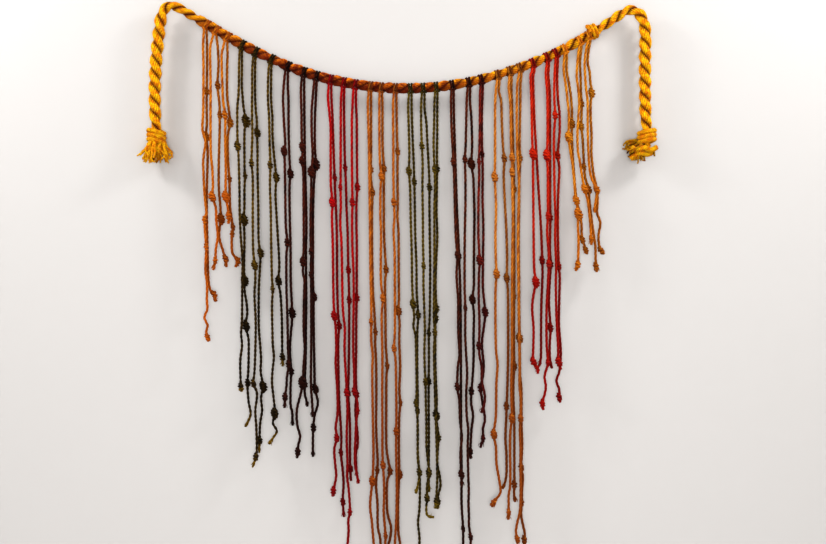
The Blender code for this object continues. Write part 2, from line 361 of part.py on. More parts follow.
def smooth_at(points, position):
    """The smooth curve through the points, at a position counted in points."""
    last = len(points) - 1
    index = min(int(position), last - 1)
    t = position - index
    before = points[max(index - 1, 0)]
    start = points[index]
    end = points[index + 1]
    after = points[min(index + 2, last)]
    blended = []
    for a, b, c, d in zip(before, start, end, after):
        blended.append(0.5 * (2 * b + (c - a) * t + (2 * a - 5 * b + 4 * c - d) * t * t
                              + (3 * b - a - 3 * c + d) * t * t * t))
    return tuple(blended)


def material(name):
    """A matt dyed fibre."""
    found = bpy.data.materials.get(name)
    if found:
        return found
    made = bpy.data.materials.new(name)
    made.use_nodes = True
    shader = made.node_tree.nodes["Principled BSDF"]
    shader.inputs["Base Color"].default_value = (*COLOURS[name], 1.0)
    shader.inputs["Roughness"].default_value = FIBRE_ROUGHNESS
    shader.inputs["Metallic"].default_value = 0.0
    made.diffuse_color = (*COLOURS[name], 1.0)
    return made


def tube(name, colour, points, radii, resolution, pivot=Vector((0, 0, 0))):
    """One round cord along the points, each with its own radius in millimetres, with its origin at the pivot."""
    data = bpy.data.curves.new(name, "CURVE")
    data.dimensions = "3D"
    data.bevel_depth = MM
    data.bevel_resolution = resolution
    data.use_fill_caps = True
    spline = data.splines.new("POLY")
    spline.points.add(len(points) - 1)
    for spline_point, point, radius in zip(spline.points, points, radii):
        spline_point.co = (*(point - pivot), 1.0)
        spline_point.radius = radius
    data.materials.append(material(colour))
    made = bpy.data.objects.new(name, data)
    made.location = pivot
    collection.objects.link(made)
    return made


def rope_position(layout_x):
    """Where the span of the primary cord crosses a layout x, counted in points of its route."""
    low, high = LEFT_NAIL, RIGHT_NAIL
    for _ in range(40):
        middle = (low + high) / 2
        if smooth_at(ROPE_ROUTE, middle)[0] < layout_x:
            low = middle
        else:
            high = middle
    return low


def rope_frame(layout_x):
    """The centre of the primary cord at a layout x, its direction to the right, and the upward normal."""
    position = rope_position(layout_x)
    centre = to_world(*smooth_at(ROPE_ROUTE, position)[:2])
    ahead = to_world(*smooth_at(ROPE_ROUTE, position + 0.02)[:2])
    behind = to_world(*smooth_at(ROPE_ROUTE, position - 0.02)[:2])
    along = (ahead - behind).normalized()
    up = Vector((-along.z, 0.0, along.x))
    return centre, along, up


def primary_cord():
    """The thick rope from tuft to tuft, over both top bends."""
    points = []
    radii = []
    for index in range(len(ROPE_ROUTE) - 1):
        start = Vector(ROPE_ROUTE[index][:2])
        end = Vector(ROPE_ROUTE[index + 1][:2])
        steps = max(1, round((end - start).length / ROPE_STEP))
        for step in range(steps):
            x, y, radius = smooth_at(ROPE_ROUTE, index + step / steps)
            points.append(to_world(x, y))
            radii.append(radius)
    points.append(to_world(*ROPE_ROUTE[-1][:2]))
    radii.append(ROPE_ROUTE[-1][2])
    return tube("primary_cord", "rope_yellow", points, radii, ROPE_RESOLUTION)


def end_binding(name, neck, clockwise):
    """Turns of cord wound round the neck of a tail, above its tuft."""
    axis = to_world(ROPE_ROUTE[neck][0], BINDING_TOP)
    chord = math.cos(math.pi / BINDING_POINTS_PER_TURN)
    winding_radius = (ROPE_NECK_RADIUS + CLEARANCE + BINDING_CORD_RADIUS) / chord
    pitch = 2 * BINDING_CORD_RADIUS + SELF_CLEARANCE
    points = []
    for step in range(BINDING_TURNS * BINDING_POINTS_PER_TURN + 1):
        turn = step / BINDING_POINTS_PER_TURN
        angle = 2 * math.pi * turn * clockwise
        points.append(axis + Vector((winding_radius * math.cos(angle), -winding_radius * math.sin(angle),
                                     -pitch * turn)) * MM)
    made = tube(name, "rope_yellow", points, [BINDING_CORD_RADIUS] * len(points), CORD_RESOLUTION)
    print(name, "least gap to itself, mm:", round(least_gap(points, BINDING_CORD_RADIUS, GAP_SKIP), 2))
    return made


def least_gap(points, radius, skip):
    """The least gap of a cord to itself, between steps that lie at least skip steps apart, in millimetres."""
    least = math.inf
    for i in range(len(points) - 1):
        for j in range(i + skip, len(points) - 1):
            distance = segment_distance(points[i], points[i + 1], points[j], points[j + 1])
            least = min(least, distance / MM - 2 * radius)
    return least


def segment_distance(a, b, c, d):
    """The distance between two straight steps."""
    least = math.inf
    for t in (0.0, 0.25, 0.5, 0.75, 1.0):
        for start, end, other_start, other_end in ((a, b, c, d), (c, d, a, b)):
            point = start.lerp(end, t)
            run = other_end - other_start
            share = max(0.0, min(1.0, (point - other_start).dot(run) / run.length_squared))
            least = min(least, (point - other_start - run * share).length)
    return least


def hitch(layout_x):
    """The lark's head from the left leg to the right one: up the front, over the top, down the back, and
    through the bar that crosses in front of both legs."""
    centre, along, up = rope_frame(layout_x)
    front = Vector((0.0, -1.0, 0.0))
    inner = HITCH_CORD_RADIUS + SELF_CLEARANCE / 2
    outer = 3 * inner + HITCH_SPREAD
    chord = math.cos(math.radians(HITCH_STEP_ANGLE / 2))
    ring = (ROPE_SPAN_RADIUS + CLEARANCE + HITCH_CORD_RADIUS) / chord
    bar = ring + 2 * HITCH_CORD_RADIUS + HITCH_BAR_CLEARANCE

    def place(side_shift, angle, radius):
        turned = math.radians(angle)
        across = front * math.cos(turned) + up * math.sin(turned)
        return centre + (along * side_shift + across * radius) * MM

    half = []
    for step in range(HITCH_RING_STEPS):
        angle = HITCH_START_ANGLE + HITCH_STEP_ANGLE * step
        share = max(0.0, min(1.0, (angle - HITCH_SPREAD_START) / HITCH_SPREAD_TURN))
        half.append((inner + (outer - inner) * share, angle, ring))
    half.append((outer, HITCH_RISE_ANGLE, ring + HITCH_RISE_SHARE * (bar - ring)))
    half.append((outer - HITCH_CORD_RADIUS, HITCH_BAR_ANGLE, bar))
    left = [place(-shift, angle, radius) for shift, angle, radius in half]
    right = [place(shift, angle, radius) for shift, angle, radius in reversed(half)]
    return left + [place(0.0, HITCH_BAR_ANGLE, bar)] + right, centre, along, up


def leg(route, lane, exit_point):
    """One hanging leg from the hitch down, as points and radii, with its wide knots as swellings."""
    outward = 1 if lane == FRONT_LANE else -1
    plan = [(exit_point[0], exit_point[1], exit_point[2])]
    for point in route:
        plan.append((point[0], point[1], lane))
    knots = [index + 1 for index, point in enumerate(route) if len(point) == 3 and point[2] >= SHOWN_KNOT]

    # Stretches between knots, each read from the smooth curve in even steps
    points = []
    radii = []
    stops = [0.0]
    for knot in knots:
        stops.append(float(knot))
    stops.append(float(len(plan) - 1))
    for start, end in zip(stops, stops[1:]):
        drop = plan[round(end)][1] - plan[round(start)][1]
        steps = max(1, round(drop / LEG_STEP))
        for step in range(steps):
            if step == 0 and start > 0:
                continue
            points.append(smooth_at(plan, start + (end - start) * step / steps))
            radii.append(CORD_RADIUS)
        if end != stops[-1]:
            x, y, depth = plan[round(end)]
            width = route[round(end) - 1][2]
            half_length = width * KNOT_LENGTH_RATIO / 2
            slope = lean(plan, round(end))
            points.append((x - slope * half_length, y - half_length, depth))
            points.append((x, y, depth + outward * (width / 2 - CORD_RADIUS)))
            points.append((x + slope * half_length, y + half_length, depth))
            radii.extend((CORD_RADIUS, width / 2, CORD_RADIUS))
    points.append(plan[-1])
    radii.append(CORD_RADIUS)
    radii[0] = (CORD_RADIUS + HITCH_CORD_RADIUS) / 2
    return [to_world(*point) for point in points], radii


def lean(plan, index):
    """The sideways run of the smooth curve at a point, for each millimetre down."""
    above = smooth_at(plan, index - 0.1)
    below = smooth_at(plan, min(index + 0.1, len(plan) - 1))
    return (below[0] - above[0]) / (below[1] - above[1])


def pendant(name, colour, layout_x, left_route, right_route):
    """One cord doubled over the primary cord: left leg, lark's head and right leg in one unbroken tube."""
    hitch_points, centre, along, up = hitch(layout_x)
    inner = CORD_RADIUS + SELF_CLEARANCE / 2
    exits = []
    for side, depth in zip((-1, 1), HITCH_EXIT_DEPTHS):
        below = centre + (along * inner * LEG_START_SHARE * side - up * HITCH_DROP) * MM
        exits.append((*to_layout(below), depth))
    left_points, left_radii = leg(left_route, FRONT_LANE, exits[0])
    right_points, right_radii = leg(right_route, BACK_LANE, exits[1])
    hitch_gap = least_gap(hitch_points, HITCH_CORD_RADIUS, GAP_SKIP)
    print(name, "least gap of the hitch to itself, mm:", round(hitch_gap, 2))
    points = left_points[::-1] + hitch_points + right_points
    radii = left_radii[::-1] + [HITCH_CORD_RADIUS] * len(hitch_points) + right_radii
    return tube(name, colour, points, radii, CORD_RESOLUTION, centre)


for old in list(bpy.data.objects):
    bpy.data.objects.remove(old)

collection = bpy.data.collections.new("inca_quipu")
bpy.context.scene.collection.children.link(collection)

primary_cord()
end_binding("left_end_binding", LEFT_NECK, 1)
end_binding("right_end_binding", RIGHT_NECK, -1)
for entry in PENDANTS:
    pendant(*entry)
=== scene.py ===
"""Inca quipu, dressed: a laid yellow rope hung at two bends, with thirty doubled, knotted pendant cords.

Metres, +Z up, +X to the right along the primary cord, +Y to the back.
The origin is the primary cord's centre at the top of its left bend.
"""
import math
from bisect import bisect_right

import bpy
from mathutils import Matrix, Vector


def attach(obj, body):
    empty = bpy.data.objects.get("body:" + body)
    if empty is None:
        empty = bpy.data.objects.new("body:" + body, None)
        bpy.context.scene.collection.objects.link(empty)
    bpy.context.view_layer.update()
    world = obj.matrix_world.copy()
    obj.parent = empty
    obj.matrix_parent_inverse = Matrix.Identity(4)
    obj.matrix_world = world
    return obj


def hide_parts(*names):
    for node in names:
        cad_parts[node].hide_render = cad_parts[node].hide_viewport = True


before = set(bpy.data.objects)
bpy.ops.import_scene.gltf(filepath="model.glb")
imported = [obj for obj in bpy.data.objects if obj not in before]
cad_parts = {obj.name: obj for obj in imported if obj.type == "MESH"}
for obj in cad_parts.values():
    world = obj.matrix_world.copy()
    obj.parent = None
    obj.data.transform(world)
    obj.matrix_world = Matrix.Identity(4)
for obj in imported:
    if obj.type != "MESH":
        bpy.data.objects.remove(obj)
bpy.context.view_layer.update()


# Layout and view
# The quipu hangs flat. Its cords are laid out in millimetres, right of and below the layout's top left
# corner, and the view looks straight at the layout's middle from a little over a metre.
MM = 0.001
LEFT_BEND = (169.5, 5.5)
LAYOUT_CENTRE = (413.0, 272.0)
VIEW_WIDTH = 0.826
LENS_MM = 50.0
SENSOR_MM = 36.0


def to_world(layout_x, layout_y, front=0.0):
    """A place on the layout, and how far it stands out from the primary cord's plane, in metres."""
    return Vector(((layout_x - LEFT_BEND[0]) * MM, -front * MM, (LEFT_BEND[1] - layout_y) * MM))


def placed(name, data):
    """A new object in the scene."""
    made = bpy.data.objects.new(name, data)
    bpy.context.scene.collection.objects.link(made)
    return made


view_data = bpy.data.cameras.new("front_view")
view_data.lens = LENS_MM
view_data.sensor_width = SENSOR_MM
view = placed("front_view", view_data)
view.location = to_world(*LAYOUT_CENTRE, VIEW_WIDTH * LENS_MM / SENSOR_MM / MM)
view.rotation_euler = (math.pi / 2, 0.0, 0.0)
bpy.context.scene.camera = view
bpy.context.scene.view_settings.view_transform = "Standard"
bpy.context.scene.view_settings.look = "High Contrast"


# Primary cord
# A thick rope of cotton or wool, two strands of eight yarns laid together, dyed yellow to orange.
# It is hung at its two bends and falls from them in two tails. Its route is given from neck to neck.
ROPE_SPAN_RADIUS = 4.25
ROPE_TAIL_RADIUS = 6.3
ROPE_NECK_RADIUS = 5.0
ROPE_BEND_RADIUS = 5.0
ROPE_STEP = 1.6
ROPE_STRANDS = 2
ROPE_LAY = -27.0
ROPE_STRAND_SIZE = 0.66
ROPE_YARNS = 8
ROPE_YARN_LAY = 24.0
ROPE_YARN_SIZE = 0.29
ROPE_SIDES = 6
RIGHT_BEND_X = 629.5
# Layout x, layout y, radius
ROPE_ROUTE = (
    (156.4, 147.0, ROPE_NECK_RADIUS), (156.4, 128.0, ROPE_NECK_RADIUS), (155.2, 116.0, ROPE_TAIL_RADIUS),
    (154.7, 92.0, ROPE_TAIL_RADIUS), (155.8, 64.0, ROPE_TAIL_RADIUS), (158.1, 40.0, ROPE_TAIL_RADIUS),
    (160.4, 21.0, 6.0), (163.4, 11.0, 5.6), (169.5, 5.5, ROPE_BEND_RADIUS), (178.5, 7.8, ROPE_BEND_RADIUS),
    (187.0, 12.8, 4.8), (197.0, 18.8, ROPE_SPAN_RADIUS), (212.0, 27.2, ROPE_SPAN_RADIUS),
    (229.0, 37.2, ROPE_SPAN_RADIUS), (250.6, 48.8, ROPE_SPAN_RADIUS), (271.7, 58.8, ROPE_SPAN_RADIUS),
    (296.6, 69.2, ROPE_SPAN_RADIUS), (323.7, 77.6, ROPE_SPAN_RADIUS), (350.0, 83.2, ROPE_SPAN_RADIUS),
    (376.0, 86.8, ROPE_SPAN_RADIUS), (402.0, 88.2, ROPE_SPAN_RADIUS), (428.6, 87.4, ROPE_SPAN_RADIUS),
    (455.0, 84.4, ROPE_SPAN_RADIUS), (480.0, 79.4, ROPE_SPAN_RADIUS), (505.0, 72.4, ROPE_SPAN_RADIUS),
    (530.0, 63.8, ROPE_SPAN_RADIUS), (552.0, 54.6, ROPE_SPAN_RADIUS), (572.0, 44.6, ROPE_SPAN_RADIUS),
    (590.0, 34.2, ROPE_SPAN_RADIUS), (607.0, 23.6, 4.8), (619.0, 15.4, ROPE_BEND_RADIUS),
    (629.5, 10.0, ROPE_BEND_RADIUS), (638.5, 13.0, 5.6), (643.6, 22.0, 6.0), (645.4, 34.0, ROPE_TAIL_RADIUS),
    (645.0, 60.0, ROPE_TAIL_RADIUS), (645.0, 90.0, ROPE_TAIL_RADIUS), (645.6, 116.0, ROPE_TAIL_RADIUS),
    (646.8, 128.0, ROPE_NECK_RADIUS), (646.8, 147.0, ROPE_NECK_RADIUS),
)

# Where the pendants are tied, how far their wraps draw the rope in, and how full it stands between them
TIED_AT = (207.6, 217.2, 228.4, 243.0, 256.6, 272.4, 288.6, 304.6, 317.2, 331.0, 344.2, 355.6, 370.6, 381.2,
           395.4, 410.4, 423.2, 436.2, 452.0, 468.4, 481.0, 497.4, 509.4, 519.4, 532.4, 546.6, 555.4, 563.8,
           579.0, 588.4)
TIED_REACH = 9.0
PINCH = 1.1
PINCH_WIDTH = 2.7
BULGE = 1.25
# The rope's unevenness: height, rate along the route, start
UNEVENNESS = ((0.22, 0.53, 0.0), (0.16, 1.21, 1.0))

# Dyed colours, and the painted shade of the rope's grooves and of its span's underside, as they look on a
# screen
ROPE_YELLOW = (1.0, 0.79, 0.08)
ROPE_ORANGE = (0.92, 0.56, 0.05)
ROPE_RUST = (0.50, 0.19, 0.04)
ROPE_GROOVE_SHADE = (0.34, 0.11, 0.02)
ROPE_WORN = (0.94, 0.56, 0.09)
ROPE_RUST_UNDERSIDE_SHADE = (0.46, 0.15, 0.03)
ROPE_UNDERSIDE_SHADE = (0.78, 0.46, 0.06)


def dye(screen_colour):
    """A colour as it looks on a screen, as the linear light that a shader takes."""
    linear = [c / 12.92 if c <= 0.04045 else ((c + 0.055) / 1.055) ** 2.4 for c in screen_colour]
    return (*linear, 1.0)


def smooth_at(points, position):
    """The smooth curve through the points, at a position counted in points."""
    last = len(points) - 1
    index = min(int(position), last - 1)
    t = position - index
    near = (points[max(index - 1, 0)], points[index], points[index + 1], points[min(index + 2, last)])
    return tuple(0.5 * (2 * b + (c - a) * t + (2 * a - 5 * b + 4 * c - d) * t * t
                        + (3 * b - a - 3 * c + d) * t * t * t) for a, b, c, d in zip(*near))


def smooth_run(points, step):
    """The smooth curve through the points, read about every step along it. Further values run along too."""
    run = []
    for index in range(len(points) - 1):
        gap = math.dist(points[index][:3], points[index + 1][:3])
        count = max(1, round(gap / step))
        run.extend(smooth_at(points, index + k / count) for k in range(count))
    run.append(tuple(points[-1]))
    return run


def joined(tree, kind, inputs=(), **settings):
    """The outputs of a new node, with its settings, and its inputs given as values or as others' outputs."""
    node = tree.nodes.new(kind)
    for name, value in settings.items():
        setattr(node, name, value)
    for key, value in dict(inputs).items():
        if isinstance(value, bpy.types.NodeSocket):
            tree.links.new(value, node.inputs[key])
        else:
            node.inputs[key].default_value = value
    return node.outputs


def formed(tree, kind, inputs=(), **settings):
    """The first output of a new node that forms or reads geometry."""
    return joined(tree, "GeometryNode" + kind, inputs, **settings)[0]


def worked(tree, kind, inputs=(), **settings):
    """The first output of a new node that works out a number, a vector or a colour."""
    return joined(tree, "ShaderNode" + kind, inputs, **settings)[0]


def maths(tree, operation, first, second=0.0, third=0.0):
    """One sum of the tree, of values or other nodes' outputs."""
    return worked(tree, "Math", {0: first, 1: second, 2: third}, operation=operation)


def scaled(tree, vector, scale):
    """A vector made longer or shorter."""
    return worked(tree, "VectorMath", {0: vector, "Scale": scale}, operation="SCALE")


def named(tree, name, data_type="FLOAT"):
    """A value that the geometry carries by name."""
    return formed(tree, "InputNamedAttribute", {"Name": name}, data_type=data_type)


def carry(tree, geometry, name, value, data_type="FLOAT"):
    """The geometry, now carrying a value by name."""
    return formed(tree, "StoreNamedAttribute", {"Geometry": geometry, "Name": name, "Value": value},
                  data_type=data_type)


def to_side(tree, angle, reach):
    """A move away from the curve's line, to the side that an angle gives."""
    across, along = formed(tree, "InputNormal"), formed(tree, "InputTangent")
    way = worked(tree, "VectorRotate", {"Vector": across, "Axis": along, "Angle": angle},
                 rotation_type="AXIS_ANGLE")
    return scaled(tree, way, reach)


def lay_strands(tree, curve, count, pitch, size):
    """The curve as count strands twisted about its line. A strand's radius is size times the curve's."""
    copies = joined(tree, "GeometryNodeDuplicateElements", {"Geometry": curve, "Amount": count},
                    domain="SPLINE")
    radius = formed(tree, "InputRadius")
    length = joined(tree, "GeometryNodeSplineParameter")["Length"]
    share = maths(tree, "DIVIDE", copies["Duplicate Index"], count)
    turn = maths(tree, "ADD", maths(tree, "DIVIDE", length, pitch), share)
    reach = maths(tree, "MULTIPLY", radius, maths(tree, "SUBTRACT", 1.0, size))
    offset = to_side(tree, maths(tree, "MULTIPLY", turn, 2 * math.pi), reach)
    numbered = carry(tree, copies[0], "strand", share)
    moved = formed(tree, "SetPosition", {"Geometry": numbered, "Offset": offset})
    return formed(tree, "SetCurveRadius", {"Curve": moved, "Radius": maths(tree, "MULTIPLY", radius, size)})


# A cut end's yarns: the points along each, and how the rope's thicker ones are laid from strands
FRAY_POINTS = 9
FRAY_FINE_POINTS = 26
FRAY_STRANDS = 3
FRAY_LAY = -11.0
FRAY_STRAND_SIZE = 0.5
# Between which numbers each yarn's own are drawn: how late and how far it bows, how far out it starts,
# its waves and where they start, and how far back it is cut
FRAY_BOW = (0.5, 1.3)
FRAY_REACH = (0.15, 1.0)
FRAY_START = (0.1, 1.0)
FRAY_WAVES = (3.0, 9.0)
FRAY_WAVE_START = (0.0, 3.0)
FRAY_CUT_BACK = (-0.45, 0.0)
FRAY_ROOT_SIZE = 1.15
FRAY_TAPER = 0.55


def opened_end(tree, given, curve, laid):
    """The last stretch of the first curve, opened into yarns that spread and bend as they go."""
    first = joined(tree, "FunctionNodeCompare", {2: formed(tree, "InputIndex"), 3: 0}, data_type="INT",
                   operation="EQUAL")[0]
    main = formed(tree, "SeparateGeometry", {"Geometry": curve, "Selection": first}, domain="CURVE")
    total = formed(tree, "CurveLength", {0: main})
    cut = formed(tree, "TrimCurve", {
        0: main, 4: maths(tree, "SUBTRACT", total, given["Fray Length"]), 5: total}, mode="LENGTH")
    short = formed(tree, "ResampleCurve", {"Curve": cut, "Count": FRAY_POINTS})
    yarns = joined(tree, "GeometryNodeDuplicateElements", {"Geometry": short, "Amount": given["Fray Yarns"]},
                   domain="SPLINE")

    def drawn(low, high, extra):
        """A random number for each yarn."""
        seed = maths(tree, "ADD", given["Seed"], extra)
        return joined(tree, "FunctionNodeRandomValue", {
            2: low, 3: high, "ID": yarns["Duplicate Index"], "Seed": seed})[1]

    factor = joined(tree, "GeometryNodeSplineParameter")["Factor"]
    bow = maths(tree, "MULTIPLY", maths(tree, "POWER", factor, drawn(*FRAY_BOW, 1)), drawn(*FRAY_REACH, 2))
    start = maths(tree, "MULTIPLY", given["Fray Base"], drawn(*FRAY_START, 5))
    spread = maths(tree, "MULTIPLY_ADD", bow, given["Fray Spread"], start)
    turn = maths(tree, "MULTIPLY_ADD", factor, drawn(*FRAY_WAVES, 6), drawn(*FRAY_WAVE_START, 7))
    wave = maths(tree, "MULTIPLY", maths(tree, "SINE", turn), factor)
    curl = maths(tree, "MULTIPLY", wave, given["Fray Curl"])
    bent = worked(tree, "VectorMath", {0: to_side(tree, drawn(0.0, 2 * math.pi, 0), spread),
                                       1: to_side(tree, drawn(0.0, 2 * math.pi, 8), curl)})
    back = maths(tree, "MULTIPLY", factor, drawn(*FRAY_CUT_BACK, 3))
    back = scaled(tree, formed(tree, "InputTangent"), maths(tree, "MULTIPLY", back, given["Fray Length"]))
    opened = formed(tree, "SetPosition", {"Geometry": carry(tree, yarns[0], "strand", drawn(0.0, 1.0, 4)),
                                          "Offset": worked(tree, "VectorMath", {0: bent, 1: back})})
    thinner = maths(tree, "SUBTRACT", FRAY_ROOT_SIZE, maths(tree, "MULTIPLY", factor, FRAY_TAPER))
    fray = formed(tree, "SetCurveRadius", {
        "Curve": opened, "Radius": maths(tree, "MULTIPLY", given["Fray Size"], thinner)})
    if laid:
        fine = formed(tree, "ResampleCurve", {"Curve": fray, "Count": FRAY_FINE_POINTS})
        fray = lay_strands(tree, fine, FRAY_STRANDS, FRAY_LAY * MM, FRAY_STRAND_SIZE)
    return fray


# How tightly the fibres wind round a strand, how long they run, and how far apart the strands' patterns lie
FIBRE_TWIST = 900.0
FIBRE_STRETCH = 140.0
FIBRE_APART = 17.0


def fibre_marks(tree, skin, tone):
    """The skin, carrying what its material reads: the line of its fibres, its height over the cord's line,
    its tone, and how far out a place lies between the strands."""
    along, girth = named(tree, "along"), named(tree, "girth")
    turned = maths(tree, "MULTIPLY_ADD", along, FIBRE_TWIST, named(tree, "round"))
    stretched = maths(tree, "MULTIPLY", along, FIBRE_STRETCH)
    fibre = worked(tree, "CombineXYZ", {
        0: maths(tree, "COSINE", turned), 1: maths(tree, "SINE", turned),
        2: maths(tree, "MULTIPLY_ADD", named(tree, "strand"), FIBRE_APART, stretched)})
    ends = {0: formed(tree, "InputPosition"), 1: named(tree, "core", "FLOAT_VECTOR")}
    away = joined(tree, "ShaderNodeVectorMath", ends, operation="DISTANCE")["Value"]
    lift = worked(tree, "VectorMath", ends, operation="SUBTRACT")
    height = joined(tree, "ShaderNodeSeparateXYZ", {0: lift})["Z"]
    skin = carry(tree, skin, "fibre", fibre, "FLOAT_VECTOR")
    skin = carry(tree, skin, "above", maths(tree, "DIVIDE", height, girth))
    skin = carry(tree, skin, "tone", tone)
    return carry(tree, skin, "depth", maths(tree, "DIVIDE", away, girth))


def laid_cord_tree(name, two_levels):
    """A curve becomes a cord of laid strands, each one yarn or several, with a frayed end if it has one."""
    tree = bpy.data.node_groups.new(name, "GeometryNodeTree")
    sockets = tree.interface
    sockets.new_socket("Geometry", in_out="INPUT", socket_type="NodeSocketGeometry")
    for kind, labels in (("Int", ("Strands", "Yarns", "Sides", "Fray Yarns", "Seed")),
                         ("Float", ("Lay", "Strand Size", "Yarn Lay", "Yarn Size", "Fray Length", "Fray Base",
                                    "Fray Spread", "Fray Curl", "Fray Size", "Tone")),
                         ("Material", ("Material",))):
        for label in labels:
            sockets.new_socket(label, in_out="INPUT", socket_type="NodeSocket" + kind)
    sockets.new_socket("Geometry", in_out="OUTPUT", socket_type="NodeSocketGeometry")
    given = joined(tree, "NodeGroupInput")
    radius = formed(tree, "InputRadius")
    spline = joined(tree, "GeometryNodeSplineParameter")
    curve = carry(tree, given["Geometry"], "core", formed(tree, "InputPosition"), "FLOAT_VECTOR")
    curve = carry(tree, curve, "girth", radius)
    curve = carry(tree, curve, "share", spline["Factor"])
    curve = carry(tree, curve, "along", spline["Length"])
    cord = lay_strands(tree, curve, given["Strands"], given["Lay"], given["Strand Size"])
    if two_levels:
        cord = lay_strands(tree, cord, given["Yarns"], given["Yarn Lay"], given["Yarn Size"])
    both = tree.nodes.new("GeometryNodeJoinGeometry")
    for part in (opened_end(tree, given, curve, two_levels), cord):
        tree.links.new(part, both.inputs[0])

    ring = formed(tree, "CurvePrimitiveCircle", {"Resolution": given["Sides"], "Radius": 1.0})
    profile = carry(tree, ring, "round", maths(tree, "MULTIPLY", spline["Factor"], 2 * math.pi))
    skin = formed(tree, "CurveToMesh", {
        "Curve": both.outputs[0], "Profile Curve": profile, "Scale": radius, "Fill Caps": True})
    soft = formed(tree, "SetShadeSmooth", {"Geometry": fibre_marks(tree, skin, given["Tone"])})
    real = formed(tree, "RealizeInstances", {"Geometry": soft})
    dyed = formed(tree, "SetMaterial", {"Geometry": real, "Material": given["Material"]})
    joined(tree, "NodeGroupOutput", {0: dyed})
    return tree


def even(points, radius_mm):
    """A run of points in metres, with one radius all along."""
    return points, [radius_mm * MM] * len(points)


def laid_cord(name, runs, tree, sizes):
    """A finished piece: the cord that the tree makes along runs of points, each with a radius, in metres,
    as a plain mesh. Only the first run is frayed."""
    data = bpy.data.curves.new("line", "CURVE")
    data.dimensions = "3D"
    for points, radii in runs:
        spline = data.splines.new("POLY")
        spline.points.add(len(points) - 1)
        for spline_point, point, radius in zip(spline.points, points, radii):
            spline_point.co = (*point, 1.0)
            spline_point.radius = radius
    line = placed("line", data)
    modifier = line.modifiers.new("laid", "NODES")
    modifier.node_group = tree
    for item in tree.interface.items_tree:
        if item.name in sizes:
            modifier[item.identifier] = sizes[item.name]
    bpy.context.view_layer.update()
    graph = bpy.context.evaluated_depsgraph_get()
    mesh = bpy.data.meshes.new_from_object(line.evaluated_get(graph))
    mesh.name = name
    bpy.data.objects.remove(line)
    return placed(name, mesh)


# How a fibre's gloss is set, its streaks' size and range, and what they do to its colour and its roughness
FIBRE_GLOSS = {"Sheen Weight": 0.03, "Sheen Roughness": 0.5, "Specular IOR Level": 0.15}
STREAKS = {"Scale": 2.6, "Detail": 3.0}
STREAK_RANGE = (0.3, 0.7)
STREAK_COLOUR = (0.46, 1.32)
STREAK_ROUGHNESS = (0.95, 0.72)
STREAK_BUMP = 0.8


def fibre_material(name):
    """A new material for a dyed fibre, and its tree."""
    material = bpy.data.materials.new(name)
    material.use_nodes = True
    return material, material.node_tree


def marked(tree, name, output="Fac"):
    """What the cord's skin carries by name, as its material reads it."""
    return joined(tree, "ShaderNodeAttribute", attribute_name=name)[output]


def ranged(tree, value, low, high, to_low=0.0, to_high=1.0):
    """A value's place between low and high, told from to_low to to_high."""
    return worked(tree, "MapRange", {0: value, 1: low, 2: high, 3: to_low, 4: to_high})


def mixed(tree, share, first, second):
    """A colour between two, by a share."""
    return joined(tree, "ShaderNodeMix", {0: share, 6: first, 7: second}, data_type="RGBA")[2]


def ramp(tree, value, stops):
    """The share for a value, by stops of place and share as it looks on a screen."""
    node = tree.nodes.new("ShaderNodeValToRGB")
    tree.links.new(value, node.inputs[0])
    elements = node.color_ramp.elements
    while len(elements) < len(stops):
        elements.new(0.5)
    for element, (place, grey) in zip(elements, stops):
        element.position = place
        element.color = dye((grey, grey, grey))
    return node.outputs[0]


def shade_fibre(material, colour, groove_shade_colour, shown_from, bump_mm):
    """Ends a fibre material: a matt, fuzzy yarn with streaks, and painted shade between its strands."""
    tree = material.node_tree
    shader = tree.nodes["Principled BSDF"]
    for socket, value in FIBRE_GLOSS.items():
        shader.inputs[socket].default_value = value
    streak = worked(tree, "TexNoise", {"Vector": marked(tree, "fibre", "Vector"), **STREAKS})
    fleck = ranged(tree, streak, *STREAK_RANGE, *STREAK_COLOUR)
    # Painted shade: the deeper a place lies between the strands, the more it takes the groove's shade colour.
    dyed = mixed(tree, ranged(tree, marked(tree, "depth"), shown_from, 1.0), dye(groove_shade_colour), colour)
    toned = scaled(tree, dyed, maths(tree, "MULTIPLY", fleck, marked(tree, "tone")))
    rough = ranged(tree, streak, *STREAK_RANGE, *STREAK_ROUGHNESS)
    bump = worked(tree, "Bump", {"Strength": STREAK_BUMP, "Distance": bump_mm * MM, "Height": streak})
    for value, socket in ((toned, "Base Color"), (rough, "Roughness"), (bump, "Normal")):
        tree.links.new(value, shader.inputs[socket])


# The rope is mottled all over and worn to rust on the left of its span, and painted shade darkens the span's
# underside.
# A stop is a share of the way between the rope's ends, given in metres, and how much shows there.
ROPE_ENDS = (-0.02, 0.478)
ROPE_PATCHES = {"Scale": 210.0, "Detail": 4.0, "Roughness": 0.7}
ROPE_MOTTLE = (0.42, 0.60)
WORN_STOPS = ((0.0, 0.0), (0.10, 0.5), (0.22, 1.0), (0.55, 1.0), (0.66, 0.55), (0.76, 0.1), (0.84, 0.0))
UNDERSIDE_SHADE_STOPS = ((0.03, 0.0), (0.12, 1.0), (0.74, 1.0), (0.93, 0.0))
UNDERSIDE_SHADE_HEIGHTS = (0.45, -0.35)
UNDERSIDE_SHADE_SHARE = 0.9
ROPE_SHOWN_FROM = 0.64
ROPE_BUMP = 0.6

